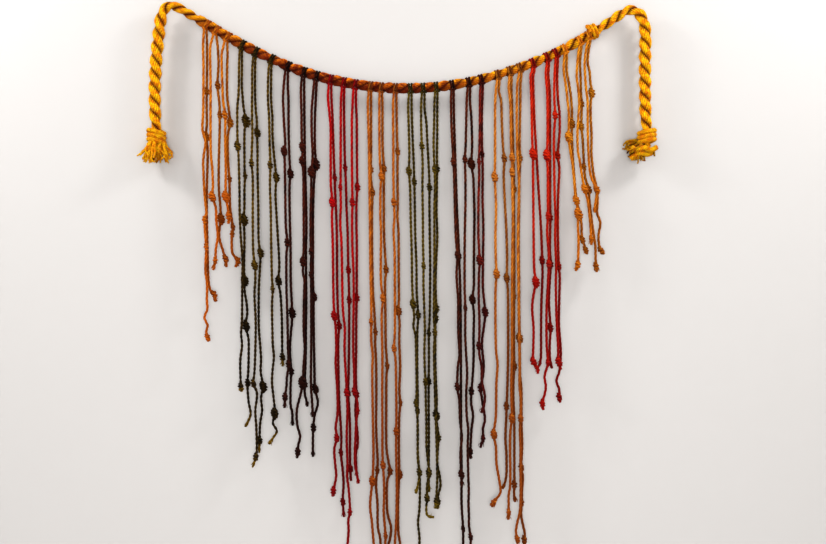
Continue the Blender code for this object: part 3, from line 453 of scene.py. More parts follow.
rope_dye, tree = fibre_material("rope_yellow_orange_fibre")
where = joined(tree, "ShaderNodeTexCoord")["Object"]
mottle = ranged(tree, worked(tree, "TexNoise", {"Vector": where, **ROPE_PATCHES}), *ROPE_MOTTLE)
plain = mixed(tree, mottle, dye(ROPE_YELLOW), dye(ROPE_ORANGE))
faded = mixed(tree, mottle, dye(ROPE_WORN), dye(ROPE_RUST))
across = ranged(tree, joined(tree, "ShaderNodeSeparateXYZ", {0: where})["X"], *ROPE_ENDS)
worn = ramp(tree, across, WORN_STOPS)
# Painted shade: the lower a place lies on the span's rope, the darker it is painted, rust-brown where the
# rope is worn.
lowness_share = ranged(tree, marked(tree, "above"), *UNDERSIDE_SHADE_HEIGHTS, 0.0, UNDERSIDE_SHADE_SHARE)
underside_shade = maths(tree, "MULTIPLY", lowness_share, ramp(tree, across, UNDERSIDE_SHADE_STOPS))
underside_shade_colour = mixed(tree, worn, dye(ROPE_UNDERSIDE_SHADE), dye(ROPE_RUST_UNDERSIDE_SHADE))
rope_colour = mixed(tree, underside_shade, mixed(tree, worn, plain, faded), underside_shade_colour)
shade_fibre(rope_dye, rope_colour, ROPE_GROOVE_SHADE, ROPE_SHOWN_FROM, ROPE_BUMP)

rope_tree = laid_cord_tree("laid_rope", True)
rope_sizes = {"Strands": ROPE_STRANDS, "Lay": ROPE_LAY * MM, "Strand Size": ROPE_STRAND_SIZE,
              "Yarns": ROPE_YARNS, "Yarn Lay": ROPE_YARN_LAY * MM, "Yarn Size": ROPE_YARN_SIZE,
              "Sides": ROPE_SIDES, "Material": rope_dye, "Fray Yarns": 0, "Seed": 0, "Tone": 1.0}


def pinched(x, y, radius):
    """The rope's radius at a place on its route, drawn in under the wraps and full between them."""
    radius += sum(height * math.sin(rate * (x + y) + start) for height, rate, start in UNEVENNESS)
    if not TIED_AT[0] - TIED_REACH < x < TIED_AT[-1] + TIED_REACH:
        return radius
    near = min(abs(x - tied) for tied in TIED_AT)
    return radius + BULGE - (PINCH + BULGE) * math.exp(-(near / PINCH_WIDTH) ** 2)


rope_run = smooth_run([(x, y, 0.0, radius) for x, y, radius in ROPE_ROUTE], ROPE_STEP)
rope = laid_cord("rope", [([to_world(x, y) for x, y, _, _ in rope_run],
                           [pinched(x, y, radius) * MM for x, y, _, radius in rope_run])],
                 rope_tree, rope_sizes)
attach(rope, "primary_cord")
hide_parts("primary_cord")


# Spare end
# A spare end of the rope's yarn, seven plies in one bundle, wound twice round the rope near its right
# bend. Its knotted tip stands on top.
SPARE_AT = (590.0, 33.5)
SPARE_RADIUS = 1.5
SPARE_SINK = 0.6
SPARE_TURNS = 2.25
SPARE_STEPS = 45
SPARE_PITCH = (2.6, -1.4)
SPARE_LEAN = (-0.45, -0.9)
SPARE_TIP = ((588.6, 29.5), (587.4, 27.4), (587.2, 25.6))
SPARE_TIP_FRONT = 2.0
SPARE_TIP_RADII = (2.6, 2.2)
BUNDLE = {"Strands": 1, "Strand Size": 1.0, "Yarns": 7, "Yarn Lay": -16 * MM, "Yarn Size": 0.34}
bundle_sizes = dict(rope_sizes, **BUNDLE)


def spare_line():
    """The line of the spare end: its turns round the rope, then its tip."""
    winding = ROPE_SPAN_RADIUS + BULGE + SPARE_RADIUS - SPARE_SINK
    points = []
    for step in range(SPARE_STEPS + 1):
        turn = SPARE_TURNS * step / SPARE_STEPS
        angle = 2 * math.pi * turn
        lift = winding * math.sin(angle)
        x, y = (at + pitch * turn + lean * lift for at, pitch, lean in zip(SPARE_AT, SPARE_PITCH, SPARE_LEAN))
        points.append(to_world(x, y, winding * math.cos(angle)))
    return points + [to_world(x, y, SPARE_TIP_FRONT) for x, y in SPARE_TIP]


spare_points = spare_line()
spare_radii = [SPARE_RADIUS * MM] * (len(spare_points) - 2) + [radius * MM for radius in SPARE_TIP_RADII]
spare = laid_cord("spare_end", [(spare_points, spare_radii)], rope_tree, dict(bundle_sizes, Tone=1.0))
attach(spare, "primary_cord")


# End bindings and tufts
# At each end the rope is bound with three turns of its own yarn, and cut below them so that its yarns fan
# out. At the right end two fat folds and two short cut ends stand out between the yarns.
BINDING_CORD_RADIUS = 2.5
BINDING_TURNS = 3
BINDING_PITCH = 4.3
BINDING_TOP = 130.0
BINDING_TILT = 2.6
BINDING_STEPS = 40
BINDING_TONE = 0.84
TUFT_YARN_RADIUS = 1.3
TUFT_BASE = 7.5
TUFT_CURL = 3.6
TUFT_STEPS = 12
TUFT_SIDES = 5
# Layout x of the neck, and the way the turns run
BINDINGS = {"left": (156.4, 1), "right": (646.8, -1)}
# Neck, end, spread, seed, yarns, tone
TUFTS = {"left": ((156.4, 141.0), (155.6, 163.0), 10.5, 5, 76, 0.8),
         "right": ((641.0, 145.0), (628.0, 156.0), 6.0, 9, 34, 0.45)}
# Radius, tone, and each one's layout x, layout y and how far in front
FOLDS = {
    "right_folds": (2.8, 0.8, (
        ((656.0, 147.5, 3.0), (650.0, 150.5, 5.0), (643.0, 148.5, 7.0), (636.0, 150.5, 6.0),
         (631.0, 148.0, 3.0)),
        ((653.5, 151.5, 0.0), (647.0, 154.5, 3.0), (640.0, 153.5, 5.0), (634.0, 156.0, 4.0),
         (630.5, 159.0, 2.0)))),
    "right_cut_ends": (1.0, 0.4, (
        ((643.0, 153.0, 4.0), (643.6, 161.5, 5.0)),
        ((652.6, 150.0, 3.0), (653.8, 156.5, 4.0)))),
}

for side, (neck_x, clockwise) in BINDINGS.items():
    winding = ROPE_NECK_RADIUS + BINDING_CORD_RADIUS
    points = []
    for step in range(BINDING_TURNS * BINDING_STEPS + 1):
        turn = step / BINDING_STEPS
        angle = 2 * math.pi * turn * clockwise - math.pi / 2
        drop = BINDING_PITCH * turn + BINDING_TILT * math.cos(angle) * clockwise
        points.append(to_world(neck_x + winding * math.cos(angle), BINDING_TOP + drop,
                               winding * math.sin(angle)))
    binding = laid_cord(side + "_binding", [even(points, BINDING_CORD_RADIUS)], rope_tree,
                        dict(bundle_sizes, Tone=BINDING_TONE))
    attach(binding, "primary_cord")
    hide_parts(side + "_end_binding")

for side, (neck, end, spread, seed, yarns, tone) in TUFTS.items():
    points = [to_world(*[a + (b - a) * k / TUFT_STEPS for a, b in zip(neck, end)])
              for k in range(TUFT_STEPS + 1)]
    tuft = laid_cord(side + "_tuft", [even(points, ROPE_NECK_RADIUS)], rope_tree, dict(
        rope_sizes, **{"Fray Yarns": yarns, "Fray Length": math.dist(neck, end) * MM,
                       "Fray Base": TUFT_BASE * MM, "Fray Spread": spread * MM, "Fray Curl": TUFT_CURL * MM,
                       "Fray Size": TUFT_YARN_RADIUS * MM, "Seed": seed, "Sides": TUFT_SIDES,
                       "Strands": 0, "Yarns": 0, "Tone": tone}))
    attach(tuft, "primary_cord")

for name, (radius, tone, routes) in FOLDS.items():
    runs = [even([to_world(*spot) for spot in smooth_run(route, ROPE_STEP)], radius) for route in routes]
    fold = laid_cord(name, runs, rope_tree, dict(bundle_sizes, Tone=tone))
    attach(fold, "primary_cord")


# Pendants
# Each pendant is one dyed cord of cotton or wool, laid from two or three strands and doubled. A lark's-head
# hitch fixes it to the rope, and its two legs hang from the hitch with knots tied in them.
CORD_RADIUS = 1.38
CORD_STEP = 1.1
LINE_STEP = 0.5 * CORD_STEP
JUST_SHORT = 1e-6
CORD_SIDES = 6
CORD_LAY = {"Strands": 3, "Lay": 15 * MM, "Strand Size": 0.57}
GREEN_LAY = {"Strands": 2, "Lay": 9 * MM, "Strand Size": 0.64}
GREENS = ("dark_olive", "olive_green")
CORD_FRAY = {"Fray Length": 6.0 * MM, "Fray Base": 0.8 * MM, "Fray Spread": 2.4 * MM,
             "Fray Curl": 0.6 * MM, "Fray Size": 0.34 * MM}
CORD_FRAY_YARNS = 10
CORD_SEED_STEP = 7
HITCH_CORD_RADIUS = 1.2
HITCH_ANGLES = range(-62, 279, 10)
HITCH_GAP = -1.35
HITCH_SIDE = 1.15
HITCH_SPREAD = 2.3
HITCH_SPREAD_FROM = 60
HITCH_SPREAD_OVER = 150
HITCH_BAR = 1.4
# The turn from the hitch's back to its bar: its angles, the share of the way out, and where it ends
HITCH_TURN = (-74, -64, -60)
HITCH_TURN_SHARE = 0.45
HITCH_TURN_TUCK = 0.5
HITCH_TURN_END = (0.2, 0.1)
HITCH_STEP = 0.8 * CORD_STEP
HITCH_DROP = 10.0
HITCH_TAPER_STEPS = 5
# Painted shade: the hitch wraps, sunk between the rope's lumps, are darkened, the golden and orange ones
# less.
HITCH_SHADE_TONE = 0.48
LESS_SHADED_HITCH_TONES = {"golden": 1.0, "orange": 0.72}
KNOT_CORD_RADIUS = 1.4
KNOT_LENGTH_RATIO = 1.35
KNOT_FULLNESS = 1.12
KNOT_TURN = 2.5
KNOT_LEAST_TURNS = 1.5
KNOT_STEPS = 11
KNOT_SLANT = 0.45
KNOT_OPENING = 0.6
KNOT_CORE_SHARE = 0.66
KNOT_CORE_STEPS = 8
# Of each leg: how far in front it hangs and how far in front it leaves the hitch, its knots' way out, and
# tone, the right leg's partly its own and partly painted shade
LEGS = {"left": (7.2, 4.8, 1, 0.88), "right": (4.1, 3.4, -1, 0.60)}
# Left leg and right leg: points of layout x and y, and at a knot its width
PENDANTS = (
    ("orange_pendant_1", "orange",
     ((204.4, 48), (204.8, 69), (204.6, 110), (203.8, 130), (206.8, 143), (204.6, 160), (205.0, 178),
      (206.0, 196), (207.6, 213), (205.8, 220, 5), (207.0, 240), (207.6, 247, 5), (206.8, 270), (208.4, 284),
      (208.2, 300), (208.6, 309), (205.8, 317), (208.8, 325), (207.6, 331), (209.0, 336.5, 5.5),
      (209.4, 341)),
     ((207.8, 48), (207.8, 69), (207.4, 92, 5.5), (207.4, 110), (207.6, 124), (206.6, 137, 7),
      (208.4, 151), (208.0, 175), (207.4, 200), (208.0, 240), (209.6, 284), (214.6, 294, 6),
      (216.4, 301.5))),
    ("orange_pendant_2", "orange",
     ((211.4, 50), (211.6, 69), (211.9, 92), (211.8, 110), (212.0, 151), (213.6, 170), (214.2, 186),
      (213.7, 197.4, 7.5), (217.0, 208), (217.6, 222), (219.0, 236), (217.0, 250), (216.6, 260.5, 5),
      (214.4, 270)),
     ((218.6, 50), (219.2, 66), (218.2, 86, 6), (220.2, 105), (220.4, 115.5, 5.5), (220.4, 130),
      (219.8, 150), (219.4, 170), (219.6, 190), (221.0, 206), (221.4, 219, 8), (219.8, 236), (223.4, 250),
      (226.0, 258.7, 6), (227.2, 267))),
    ("orange_pendant_3", "orange",
     ((222.9, 56), (223.0, 68), (223.6, 86), (224.4, 103), (226.4, 116, 6), (226.4, 140), (227.0, 170),
      (226.8, 186), (227.2, 197.4, 8), (228.8, 207), (230.0, 216.4, 6), (229.6, 224)),
     ((228.2, 56), (227.8, 69), (227.8, 95), (229.4, 110), (230.6, 123, 7), (228.4, 138), (228.6, 160),
      (230.0, 179, 5), (230.4, 197), (231.0, 210), (233.4, 227, 5), (232.6, 234, 5), (232.4, 245),
      (233.4, 254), (238.6, 260.4, 6), (236.0, 267))),

    ("dark_olive_pendant_1", "dark_olive",
     ((240.2, 68), (240.0, 85), (239.6, 96), (238.5, 109), (238.4, 130), (238.9, 147, 7), (239.8, 160),
      (240.6, 190), (240.8, 212), (241.8, 236), (243.5, 260), (243.3, 290), (243.1, 318), (242.2, 333),
      (243.1, 345), (241.4, 360), (241.6, 378), (242.2, 386, 6), (242.6, 391)),
     ((242.6, 68), (242.4, 85), (243.1, 96), (244.3, 109), (246.4, 121.4, 9), (245.1, 133), (245.1, 165),
      (245.6, 176, 5), (245.1, 190), (245.0, 208), (244.3, 219.8, 8.5), (245.1, 236), (244.7, 262),
      (245.0, 280.5, 8), (245.4, 292), (247.2, 303), (247.8, 314), (246.0, 325.6, 8), (249.0, 338),
      (249.3, 352), (248.9, 370), (248.0, 382.8, 6), (248.4, 392), (249.3, 402), (251.2, 413),
      (248.6, 421), (245.6, 426))),
    ("dark_olive_pendant_2", "dark_olive",
     ((253.2, 74), (253.2, 92), (253.0, 110), (253.4, 135), (252.9, 150), (252.6, 164, 5.5), (253.8, 180),
      (253.8, 215), (254.2, 250), (256.0, 265.4, 7), (256.3, 280), (255.5, 295), (256.7, 322), (256.3, 350),
      (255.5, 371), (254.4, 382.8, 6), (258.0, 393), (256.3, 410), (257.2, 424), (257.6, 436), (257.8, 447),
      (257.0, 455.5, 6), (253.6, 466)),
     ((255.6, 74), (255.6, 92), (256.3, 110), (257.4, 121), (257.6, 133, 7), (258.0, 148), (258.2, 175),
      (258.8, 205), (259.2, 240), (261.0, 253, 7), (260.4, 270), (259.4, 290), (259.3, 325), (260.5, 342),
      (261.6, 359), (261.2, 371), (263.6, 386.5, 8), (261.6, 397), (262.6, 410), (260.7, 423),
      (260.0, 440, 6), (259.8, 452))),
    ("dark_olive_pendant_3", "dark_olive",
     ((269.0, 82), (268.9, 100), (270.0, 118), (270.6, 145), (271.3, 166, 6), (270.9, 187), (271.7, 212),
      (272.1, 245), (272.9, 278), (273.6, 289, 5), (272.9, 307), (273.6, 342), (274.8, 356), (273.6, 368),
      (272.9, 382), (274.6, 398), (275.8, 412.4, 8), (273.8, 422), (277.6, 430), (273.8, 437), (269.8, 443)),
     ((271.6, 82), (271.6, 100), (272.9, 118), (273.0, 135), (274.2, 152), (276.6, 177.5, 7), (276.0, 195),
      (277.3, 220), (278.5, 240), (279.8, 265), (278.8, 281, 7), (280.8, 293), (281.8, 307), (282.4, 322),
      (282.6, 340), (282.8, 357, 6), (283.4, 366))),

    ("dark_brown_pendant_1", "dark_brown",
     ((284.5, 88), (283.9, 100), (284.9, 125), (286.0, 143), (285.1, 152, 7), (285.6, 165), (286.0, 190),
      (286.6, 225), (288.2, 243, 6), (287.2, 256), (287.2, 285), (287.8, 305), (288.5, 330), (288.8, 350),
      (289.6, 363.7, 6), (287.9, 375), (287.2, 386), (285.9, 396, 6), (285.4, 407)),
     ((288.3, 88), (288.9, 100), (289.1, 130), (289.9, 158), (290.7, 174, 7), (289.9, 190), (290.3, 220),
      (291.0, 250), (291.2, 282), (292.2, 302), (292.4, 313, 7.5), (292.4, 323), (291.4, 332),
      (290.4, 350), (291.6, 371, 6), (291.0, 386), (291.0, 404), (292.6, 412), (293.0, 425))),
    ("dark_brown_pendant_2", "dark_brown",
     ((301.6, 94), (302.2, 115), (302.4, 138), (303.4, 148, 7), (302.9, 162, 6.5), (304.0, 174),
      (304.3, 200), (304.5, 240), (303.9, 262, 7), (303.7, 273), (305.2, 281), (304.6, 300), (304.4, 330),
      (305.4, 348), (304.1, 368), (303.6, 382, 9), (301.2, 394), (297.6, 409), (298.0, 424), (300.8, 435),
      (299.0, 444), (298.6, 450.5, 6), (297.8, 457)),
     ((304.6, 94), (304.8, 120), (305.2, 150), (305.8, 178), (306.4, 203), (306.8, 228), (306.4, 250),
      (306.4, 275), (306.6, 300), (306.3, 326), (306.2, 350), (305.6, 370), (305.0, 384, 6), (305.3, 394),
      (306.8, 400), (308.0, 406))),
    ("dark_brown_pendant_3", "dark_brown",
     ((313.4, 98), (312.3, 112), (312.4, 135), (313.3, 155), (312.2, 173, 8), (311.8, 190), (311.3, 215),
      (311.3, 240), (311.9, 252, 5.5), (311.5, 264), (311.7, 275, 5), (311.9, 305), (311.9, 338),
      (311.7, 360), (311.6, 384), (312.8, 402), (313.4, 416)),
     ((316.2, 98), (315.3, 120), (315.2, 145), (316.0, 164.5, 8.5), (314.2, 185), (313.4, 215),
      (313.4, 250), (313.2, 275), (313.9, 296.6, 7), (314.0, 318), (314.2, 340), (314.8, 370),
      (315.4, 388.6, 7), (318.2, 402), (315.0, 415), (313.6, 427.3, 6), (313.3, 440), (313.2, 456))),

    ("crimson_pendant_1", "crimson",
     ((328.6, 100), (330.0, 114), (331.2, 130), (331.2, 155), (331.4, 185), (333.0, 203, 7), (332.5, 218),
      (333.3, 245), (333.8, 285), (334.2, 303), (335.0, 315.7, 7), (336.2, 328), (336.8, 348), (336.2, 363),
      (337.8, 390), (338.0, 412), (336.2, 426), (337.4, 437, 6), (334.8, 448), (335.6, 462), (336.6, 475),
      (333.9, 489, 6), (333.4, 495)),
     ((331.8, 100), (332.6, 114), (333.6, 143), (334.4, 165), (335.0, 178, 5), (335.4, 192), (336.4, 212),
      (337.2, 240), (337.4, 280), (338.2, 310), (339.4, 325.6, 6), (338.6, 340), (338.7, 370),
      (339.4, 400), (341.0, 425), (341.6, 440), (341.0, 452, 5), (342.0, 461), (343.2, 472), (343.8, 484),
      (343.2, 494), (343.0, 501.4, 5.5), (344.2, 516))),
    ("crimson_pendant_2", "crimson",
     ((341.4, 104), (341.2, 135), (341.1, 175), (340.9, 188, 4.5), (341.3, 205), (340.7, 224), (341.8, 240),
      (342.4, 262), (342.8, 292), (343.6, 313), (345.2, 328), (345.0, 350), (346.2, 373), (347.2, 392, 6),
      (347.8, 410), (347.1, 436), (347.8, 460), (347.6, 475), (349.0, 487), (350.0, 500), (350.3, 510.5, 5),
      (348.7, 519), (349.0, 529), (348.2, 540), (347.0, 552), (347.8, 562, 6), (347.6, 569)),
     ((344.2, 104), (344.6, 135), (345.1, 157), (345.4, 168, 5), (346.1, 183), (346.8, 208), (347.8, 232),
      (348.3, 258), (348.6, 270, 5.5), (349.1, 285), (349.4, 300, 5.5), (349.4, 320), (349.3, 345),
      (348.9, 372), (348.4, 393, 5.5), (349.4, 408), (350.2, 428), (350.2, 448), (350.4, 468, 6),
      (351.2, 480))),
    ("crimson_pendant_3", "crimson",
     ((353.0, 105), (352.3, 122), (352.3, 155), (352.6, 188), (352.9, 203, 6), (352.5, 220), (352.8, 248),
      (353.8, 270), (354.1, 300), (353.7, 325), (353.7, 350), (354.5, 372), (354.9, 391, 6), (357.6, 401),
      (357.8, 410, 5), (356.4, 423), (355.9, 436), (355.3, 448), (355.4, 463), (357.0, 472), (359.0, 482)),
     ((356.2, 105), (356.9, 120), (357.1, 150), (357.3, 175), (357.6, 187.4, 6), (356.7, 204),
      (356.6, 225), (357.0, 245), (356.9, 285), (356.9, 297.8, 6), (356.5, 315), (356.4, 350),
      (356.0, 376), (356.6, 394, 6), (355.6, 411), (357.6, 432), (357.9, 444), (356.1, 454), (356.9, 475))),

    ("orange_brown_pendant_1", "orange_brown",
     ((368.2, 106), (368.6, 125), (369.2, 145), (369.6, 170), (369.9, 192), (370.3, 225), (370.7, 265),
      (371.5, 303), (371.5, 321.5, 5), (371.5, 340), (373.0, 355), (372.5, 372), (373.0, 410), (373.7, 448),
      (373.4, 466), (372.7, 479.6, 7), (371.4, 491), (370.4, 505), (372.2, 521), (373.8, 540), (375.2, 553),
      (375.0, 567)),
     ((371.2, 106), (371.2, 130), (371.2, 155), (370.8, 169.5, 6), (371.2, 181), (372.5, 192.4, 6),
      (372.1, 215), (372.3, 255), (373.0, 290), (374.6, 313), (375.5, 331.8, 5), (375.3, 345),
      (376.2, 360), (376.5, 390), (376.3, 425), (377.2, 448), (377.8, 460), (377.3, 469.6, 5),
      (376.2, 485), (377.6, 503), (377.9, 525), (380.2, 537), (380.8, 550), (380.4, 563))),
    ("orange_brown_pendant_2", "orange_brown",
     ((379.6, 108), (379.7, 140), (380.2, 163), (381.6, 177, 6), (380.7, 190), (380.6, 215), (381.3, 235),
      (381.0, 262), (381.3, 284), (383.2, 298, 6), (382.0, 311), (382.0, 330), (382.6, 355), (382.4, 390),
      (382.6, 425), (382.6, 450), (383.2, 463.8, 6), (384.0, 477), (384.4, 492), (383.9, 510), (385.2, 527),
      (385.7, 534, 4.5), (385.2, 548), (385.6, 561)),
     ((382.6, 108), (382.7, 145), (384.0, 168.6, 6), (383.9, 190), (384.0, 222), (384.6, 245),
      (386.1, 269.5, 6), (385.2, 283), (385.5, 315), (385.9, 345), (387.3, 365.4, 5), (386.5, 378),
      (386.3, 410), (386.5, 445), (388.4, 460), (390.2, 470.8, 6), (387.4, 480), (386.8, 495),
      (387.6, 512), (391.0, 526), (390.4, 536), (388.2, 547), (388.0, 565))),
    ("orange_brown_pendant_3", "orange_brown",
     ((393.2, 109), (393.4, 140), (393.5, 175), (393.8, 192), (394.1, 202.8, 6), (394.6, 217), (393.7, 232),
      (394.7, 252), (395.0, 290), (395.0, 330), (394.2, 348, 5.5), (395.7, 360), (396.3, 390), (396.5, 415),
      (396.3, 430.6, 6), (396.2, 448), (396.6, 468), (396.9, 490), (396.6, 512), (395.8, 528), (394.9, 544),
      (394.6, 560)),
     ((396.6, 109), (397.0, 135), (397.7, 152, 5.5), (397.5, 172), (397.8, 205), (397.5, 217),
      (398.6, 234), (398.8, 270), (399.0, 297), (398.4, 310.7, 7), (399.6, 322), (399.3, 342),
      (400.2, 366), (399.4, 390), (400.4, 402.4, 4.5), (399.3, 416), (398.9, 445), (399.3, 473.7, 7),
      (398.5, 490), (398.1, 515), (398.5, 532), (400.2, 544), (400.4, 564))),

    ("olive_green_pendant_1", "olive_green",
     ((408.2, 109), (408.8, 128), (409.4, 155), (409.0, 172, 6.5), (410.2, 190), (410.8, 222), (411.8, 255),
      (412.2, 285), (413.2, 304, 7), (414.2, 317), (413.4, 326), (415.6, 336), (416.2, 360), (416.6, 388),
      (416.2, 402.4, 6), (417.4, 417), (417.6, 440), (417.8, 458), (419.4, 471, 6), (418.2, 482),
      (415.9, 492)),
     ((411.7, 109), (412.4, 132), (413.6, 160), (414.3, 182, 5.5), (414.8, 205), (415.3, 235),
      (416.4, 265), (416.7, 292), (418.2, 314.8, 6), (417.4, 330), (417.2, 350), (417.4, 380),
      (417.8, 398), (417.4, 410.5, 5.5), (417.8, 428), (417.8, 450), (418.8, 466), (419.8, 482),
      (419.8, 498), (419.2, 511), (418.0, 522), (419.4, 536), (419.2, 548), (418.7, 561, 6), (418.4, 570))),
    ("olive_green_pendant_2", "olive_green",
     ((421.0, 109), (421.2, 130), (421.9, 147, 5.5), (422.6, 165), (422.4, 187), (422.8, 215), (423.0, 245),
      (423.5, 266, 5), (423.4, 285), (424.2, 308), (424.8, 330), (424.3, 350), (424.7, 368),
      (425.4, 381.5, 5.5), (425.7, 400), (426.3, 422), (426.4, 444), (427.6, 458), (428.9, 471, 6.5),
      (426.9, 485), (427.0, 496.5, 6), (426.2, 506), (427.4, 514), (433.8, 515.6)),
     ((424.6, 109), (426.4, 124), (427.2, 140), (428.2, 158), (429.0, 174), (429.5, 187.6, 6),
      (429.4, 205), (429.7, 235), (430.1, 265), (429.9, 300), (429.5, 320), (428.8, 333, 5), (428.9, 355),
      (428.7, 381, 6), (428.6, 400), (428.8, 430), (428.8, 452), (428.6, 474, 5.5), (429.0, 491))),
    ("olive_green_pendant_3", "olive_green",
     ((434.2, 108), (434.0, 125), (433.5, 145), (434.4, 170, 5.5), (434.8, 188), (434.3, 210), (434.3, 240),
      (434.2, 270), (433.9, 300), (433.9, 320), (434.7, 332, 5.5), (433.8, 350), (434.3, 375), (435.2, 405),
      (436.1, 432), (436.8, 455), (437.1, 477), (436.6, 488), (436.0, 500, 5.5), (435.4, 507)),
     ((437.2, 108), (437.2, 135), (436.9, 155), (437.0, 169, 6), (436.8, 190), (436.4, 210), (437.2, 236),
      (436.3, 258), (435.5, 280), (435.9, 299), (436.3, 308, 6.5), (435.6, 318, 6.5), (435.2, 340),
      (435.5, 372), (436.7, 398), (436.2, 415, 7.5), (437.6, 428), (438.6, 437.3, 5.5), (437.5, 452),
      (437.4, 464), (439.4, 474), (440.4, 485), (438.4, 493), (437.8, 501, 6), (437.6, 508))),

    ("umber_pendant_1", "umber",
     ((450.8, 104), (451.2, 125), (452.2, 145), (453.2, 162.8, 6), (454.0, 180), (454.6, 205), (455.6, 238),
      (457.2, 255.4, 6), (456.3, 275), (457.8, 300), (458.0, 330), (459.2, 354), (457.6, 366),
      (457.0, 386, 6), (459.0, 400), (459.8, 420), (461.6, 436), (460.2, 452), (461.0, 473, 6.5),
      (461.6, 485)),
     ((453.6, 104), (454.2, 130), (455.0, 155), (455.8, 180), (456.8, 210), (458.2, 238),
      (458.9, 256, 5.5), (459.8, 280), (460.4, 310), (460.6, 340), (460.8, 370), (460.8, 402),
      (461.0, 424), (461.0, 442), (461.4, 460), (461.4, 480), (461.3, 498), (461.8, 511),
      (462.9, 528, 4.5), (463.0, 545), (463.0, 561))),
    ("umber_pendant_2", "umber",
     ((466.4, 102), (465.9, 122), (465.4, 145), (464.6, 160.3, 5.5), (465.1, 180), (465.1, 205),
      (464.6, 228), (464.3, 255), (464.3, 288), (465.0, 307.8, 4.5), (464.9, 335), (465.9, 356),
      (466.8, 373), (465.9, 393), (466.4, 415), (467.8, 428), (467.4, 446), (467.8, 470), (468.4, 490),
      (468.1, 502), (468.6, 514), (468.6, 524), (470.2, 535, 5), (470.2, 549), (470.1, 563)),
     ((469.8, 102), (471.2, 120), (471.9, 145), (471.2, 164, 8), (473.0, 177), (473.7, 195), (474.2, 215),
      (473.9, 240), (473.7, 262), (473.6, 285), (472.3, 299.5, 7), (473.7, 314), (473.3, 338),
      (473.4, 356), (472.6, 374), (471.2, 391, 6), (471.0, 403), (472.8, 415), (471.4, 428), (470.6, 440),
      (470.2, 451, 5.5), (470.6, 458))),
    ("umber_pendant_3", "red_umber",
     ((479.6, 98), (479.4, 130), (479.0, 150), (478.6, 162.4, 4.5), (478.7, 178), (478.1, 200), (478.0, 235),
      (479.2, 260.4, 7.5), (478.5, 275), (478.3, 297), (479.0, 320), (478.9, 334), (478.5, 345.5, 6),
      (479.2, 356), (481.2, 366), (481.6, 381), (484.4, 395), (483.4, 405), (480.9, 412)),
     ((482.2, 98), (481.6, 115), (481.7, 140), (482.0, 154.5, 5), (482.5, 172), (482.3, 199), (483.1, 228),
      (482.8, 258), (482.7, 288), (485.0, 312, 7), (483.7, 326), (481.7, 344), (483.4, 364), (482.6, 376),
      (480.2, 387.8, 6), (481.6, 398), (484.6, 418), (482.7, 428), (482.9, 438, 5), (480.2, 447))),

    ("ochre_pendant_1", "ochre",
     ((495.3, 92), (494.6, 108), (494.6, 140), (494.5, 164), (494.1, 177.7, 7), (494.9, 192), (495.5, 210),
      (494.9, 236), (495.3, 260), (496.0, 274, 7), (495.0, 290), (494.9, 320), (495.5, 350), (497.0, 364),
      (495.8, 384), (495.3, 415), (493.2, 433.1, 7), (495.4, 446), (495.9, 462), (498.2, 476), (500.0, 490),
      (496.2, 497), (492.8, 501, 6), (491.4, 505)),
     ((498.5, 92), (500.8, 102), (501.6, 125), (502.8, 149), (504.2, 158.7, 6), (503.4, 176), (504.4, 200),
      (506.0, 230), (506.7, 256), (506.5, 278, 6.5), (507.6, 293), (507.8, 325), (507.7, 358),
      (506.9, 390), (506.2, 406, 6), (505.8, 420), (505.1, 437), (506.1, 455), (506.0, 474), (504.2, 483),
      (502.2, 488))),
    ("ochre_pendant_2", "ochre",
     ((508.2, 90), (509.8, 105), (510.2, 130), (510.6, 148), (511.5, 159, 6.5), (511.5, 173, 6),
      (511.8, 195), (512.2, 220), (511.7, 250), (511.4, 280), (511.3, 320), (511.3, 355), (510.7, 380),
      (510.9, 402), (511.3, 417.4, 7), (509.8, 430), (509.4, 446), (509.7, 470), (509.4, 485), (508.1, 494),
      (508.0, 510.5, 5), (507.6, 518)),
     ((511.0, 90), (511.8, 110), (512.2, 130), (512.8, 150), (513.4, 170), (513.6, 189, 6), (513.7, 215),
      (513.8, 245), (514.0, 275), (513.8, 295.8, 5), (513.7, 325), (513.7, 352), (513.9, 365.8, 6.5),
      (513.1, 382), (513.0, 398), (513.8, 416), (514.0, 434), (514.0, 452), (514.0, 470), (514.0, 484, 6),
      (513.8, 494), (515.0, 501))),
    ("ochre_pendant_3", "ochre",
     ((516.6, 86), (516.2, 100), (516.1, 125), (516.8, 155), (518.2, 182), (518.0, 200), (517.4, 230),
      (517.3, 255), (517.8, 285), (518.1, 315), (518.6, 345), (518.9, 368), (518.8, 384), (519.9, 398),
      (519.8, 417.4, 6), (519.2, 430), (519.8, 446), (519.8, 470), (520.0, 490), (519.4, 508), (516.2, 523),
      (515.3, 530), (516.6, 537, 5.5), (517.2, 542)),
     ((520.0, 86), (519.9, 104), (519.4, 130), (519.2, 147), (519.9, 158.3, 5.5), (519.1, 176),
      (518.8, 205), (518.3, 240), (518.7, 275), (518.9, 310), (519.3, 338, 7.5), (519.5, 354),
      (519.7, 374), (521.0, 390), (521.2, 425), (521.8, 444), (520.9, 466.8, 6), (522.4, 476),
      (521.6, 490), (521.5, 501.4, 5), (520.8, 514), (523.0, 526), (524.3, 532), (523.9, 538.7, 6),
      (523.8, 544))),

    ("red_pendant_1", "red",
     ((529.8, 78), (530.6, 97), (531.2, 125), (531.5, 143), (532.2, 155, 8), (532.3, 175), (532.6, 205),
      (532.9, 240), (533.4, 268), (535.0, 282, 8), (532.9, 294), (531.4, 308), (532.8, 328), (532.5, 348),
      (532.4, 361, 6.5), (536.2, 367, 5), (537.3, 373)),
     ((532.7, 78), (533.2, 100), (534.2, 125), (535.6, 148), (536.9, 170), (538.4, 195), (540.2, 222),
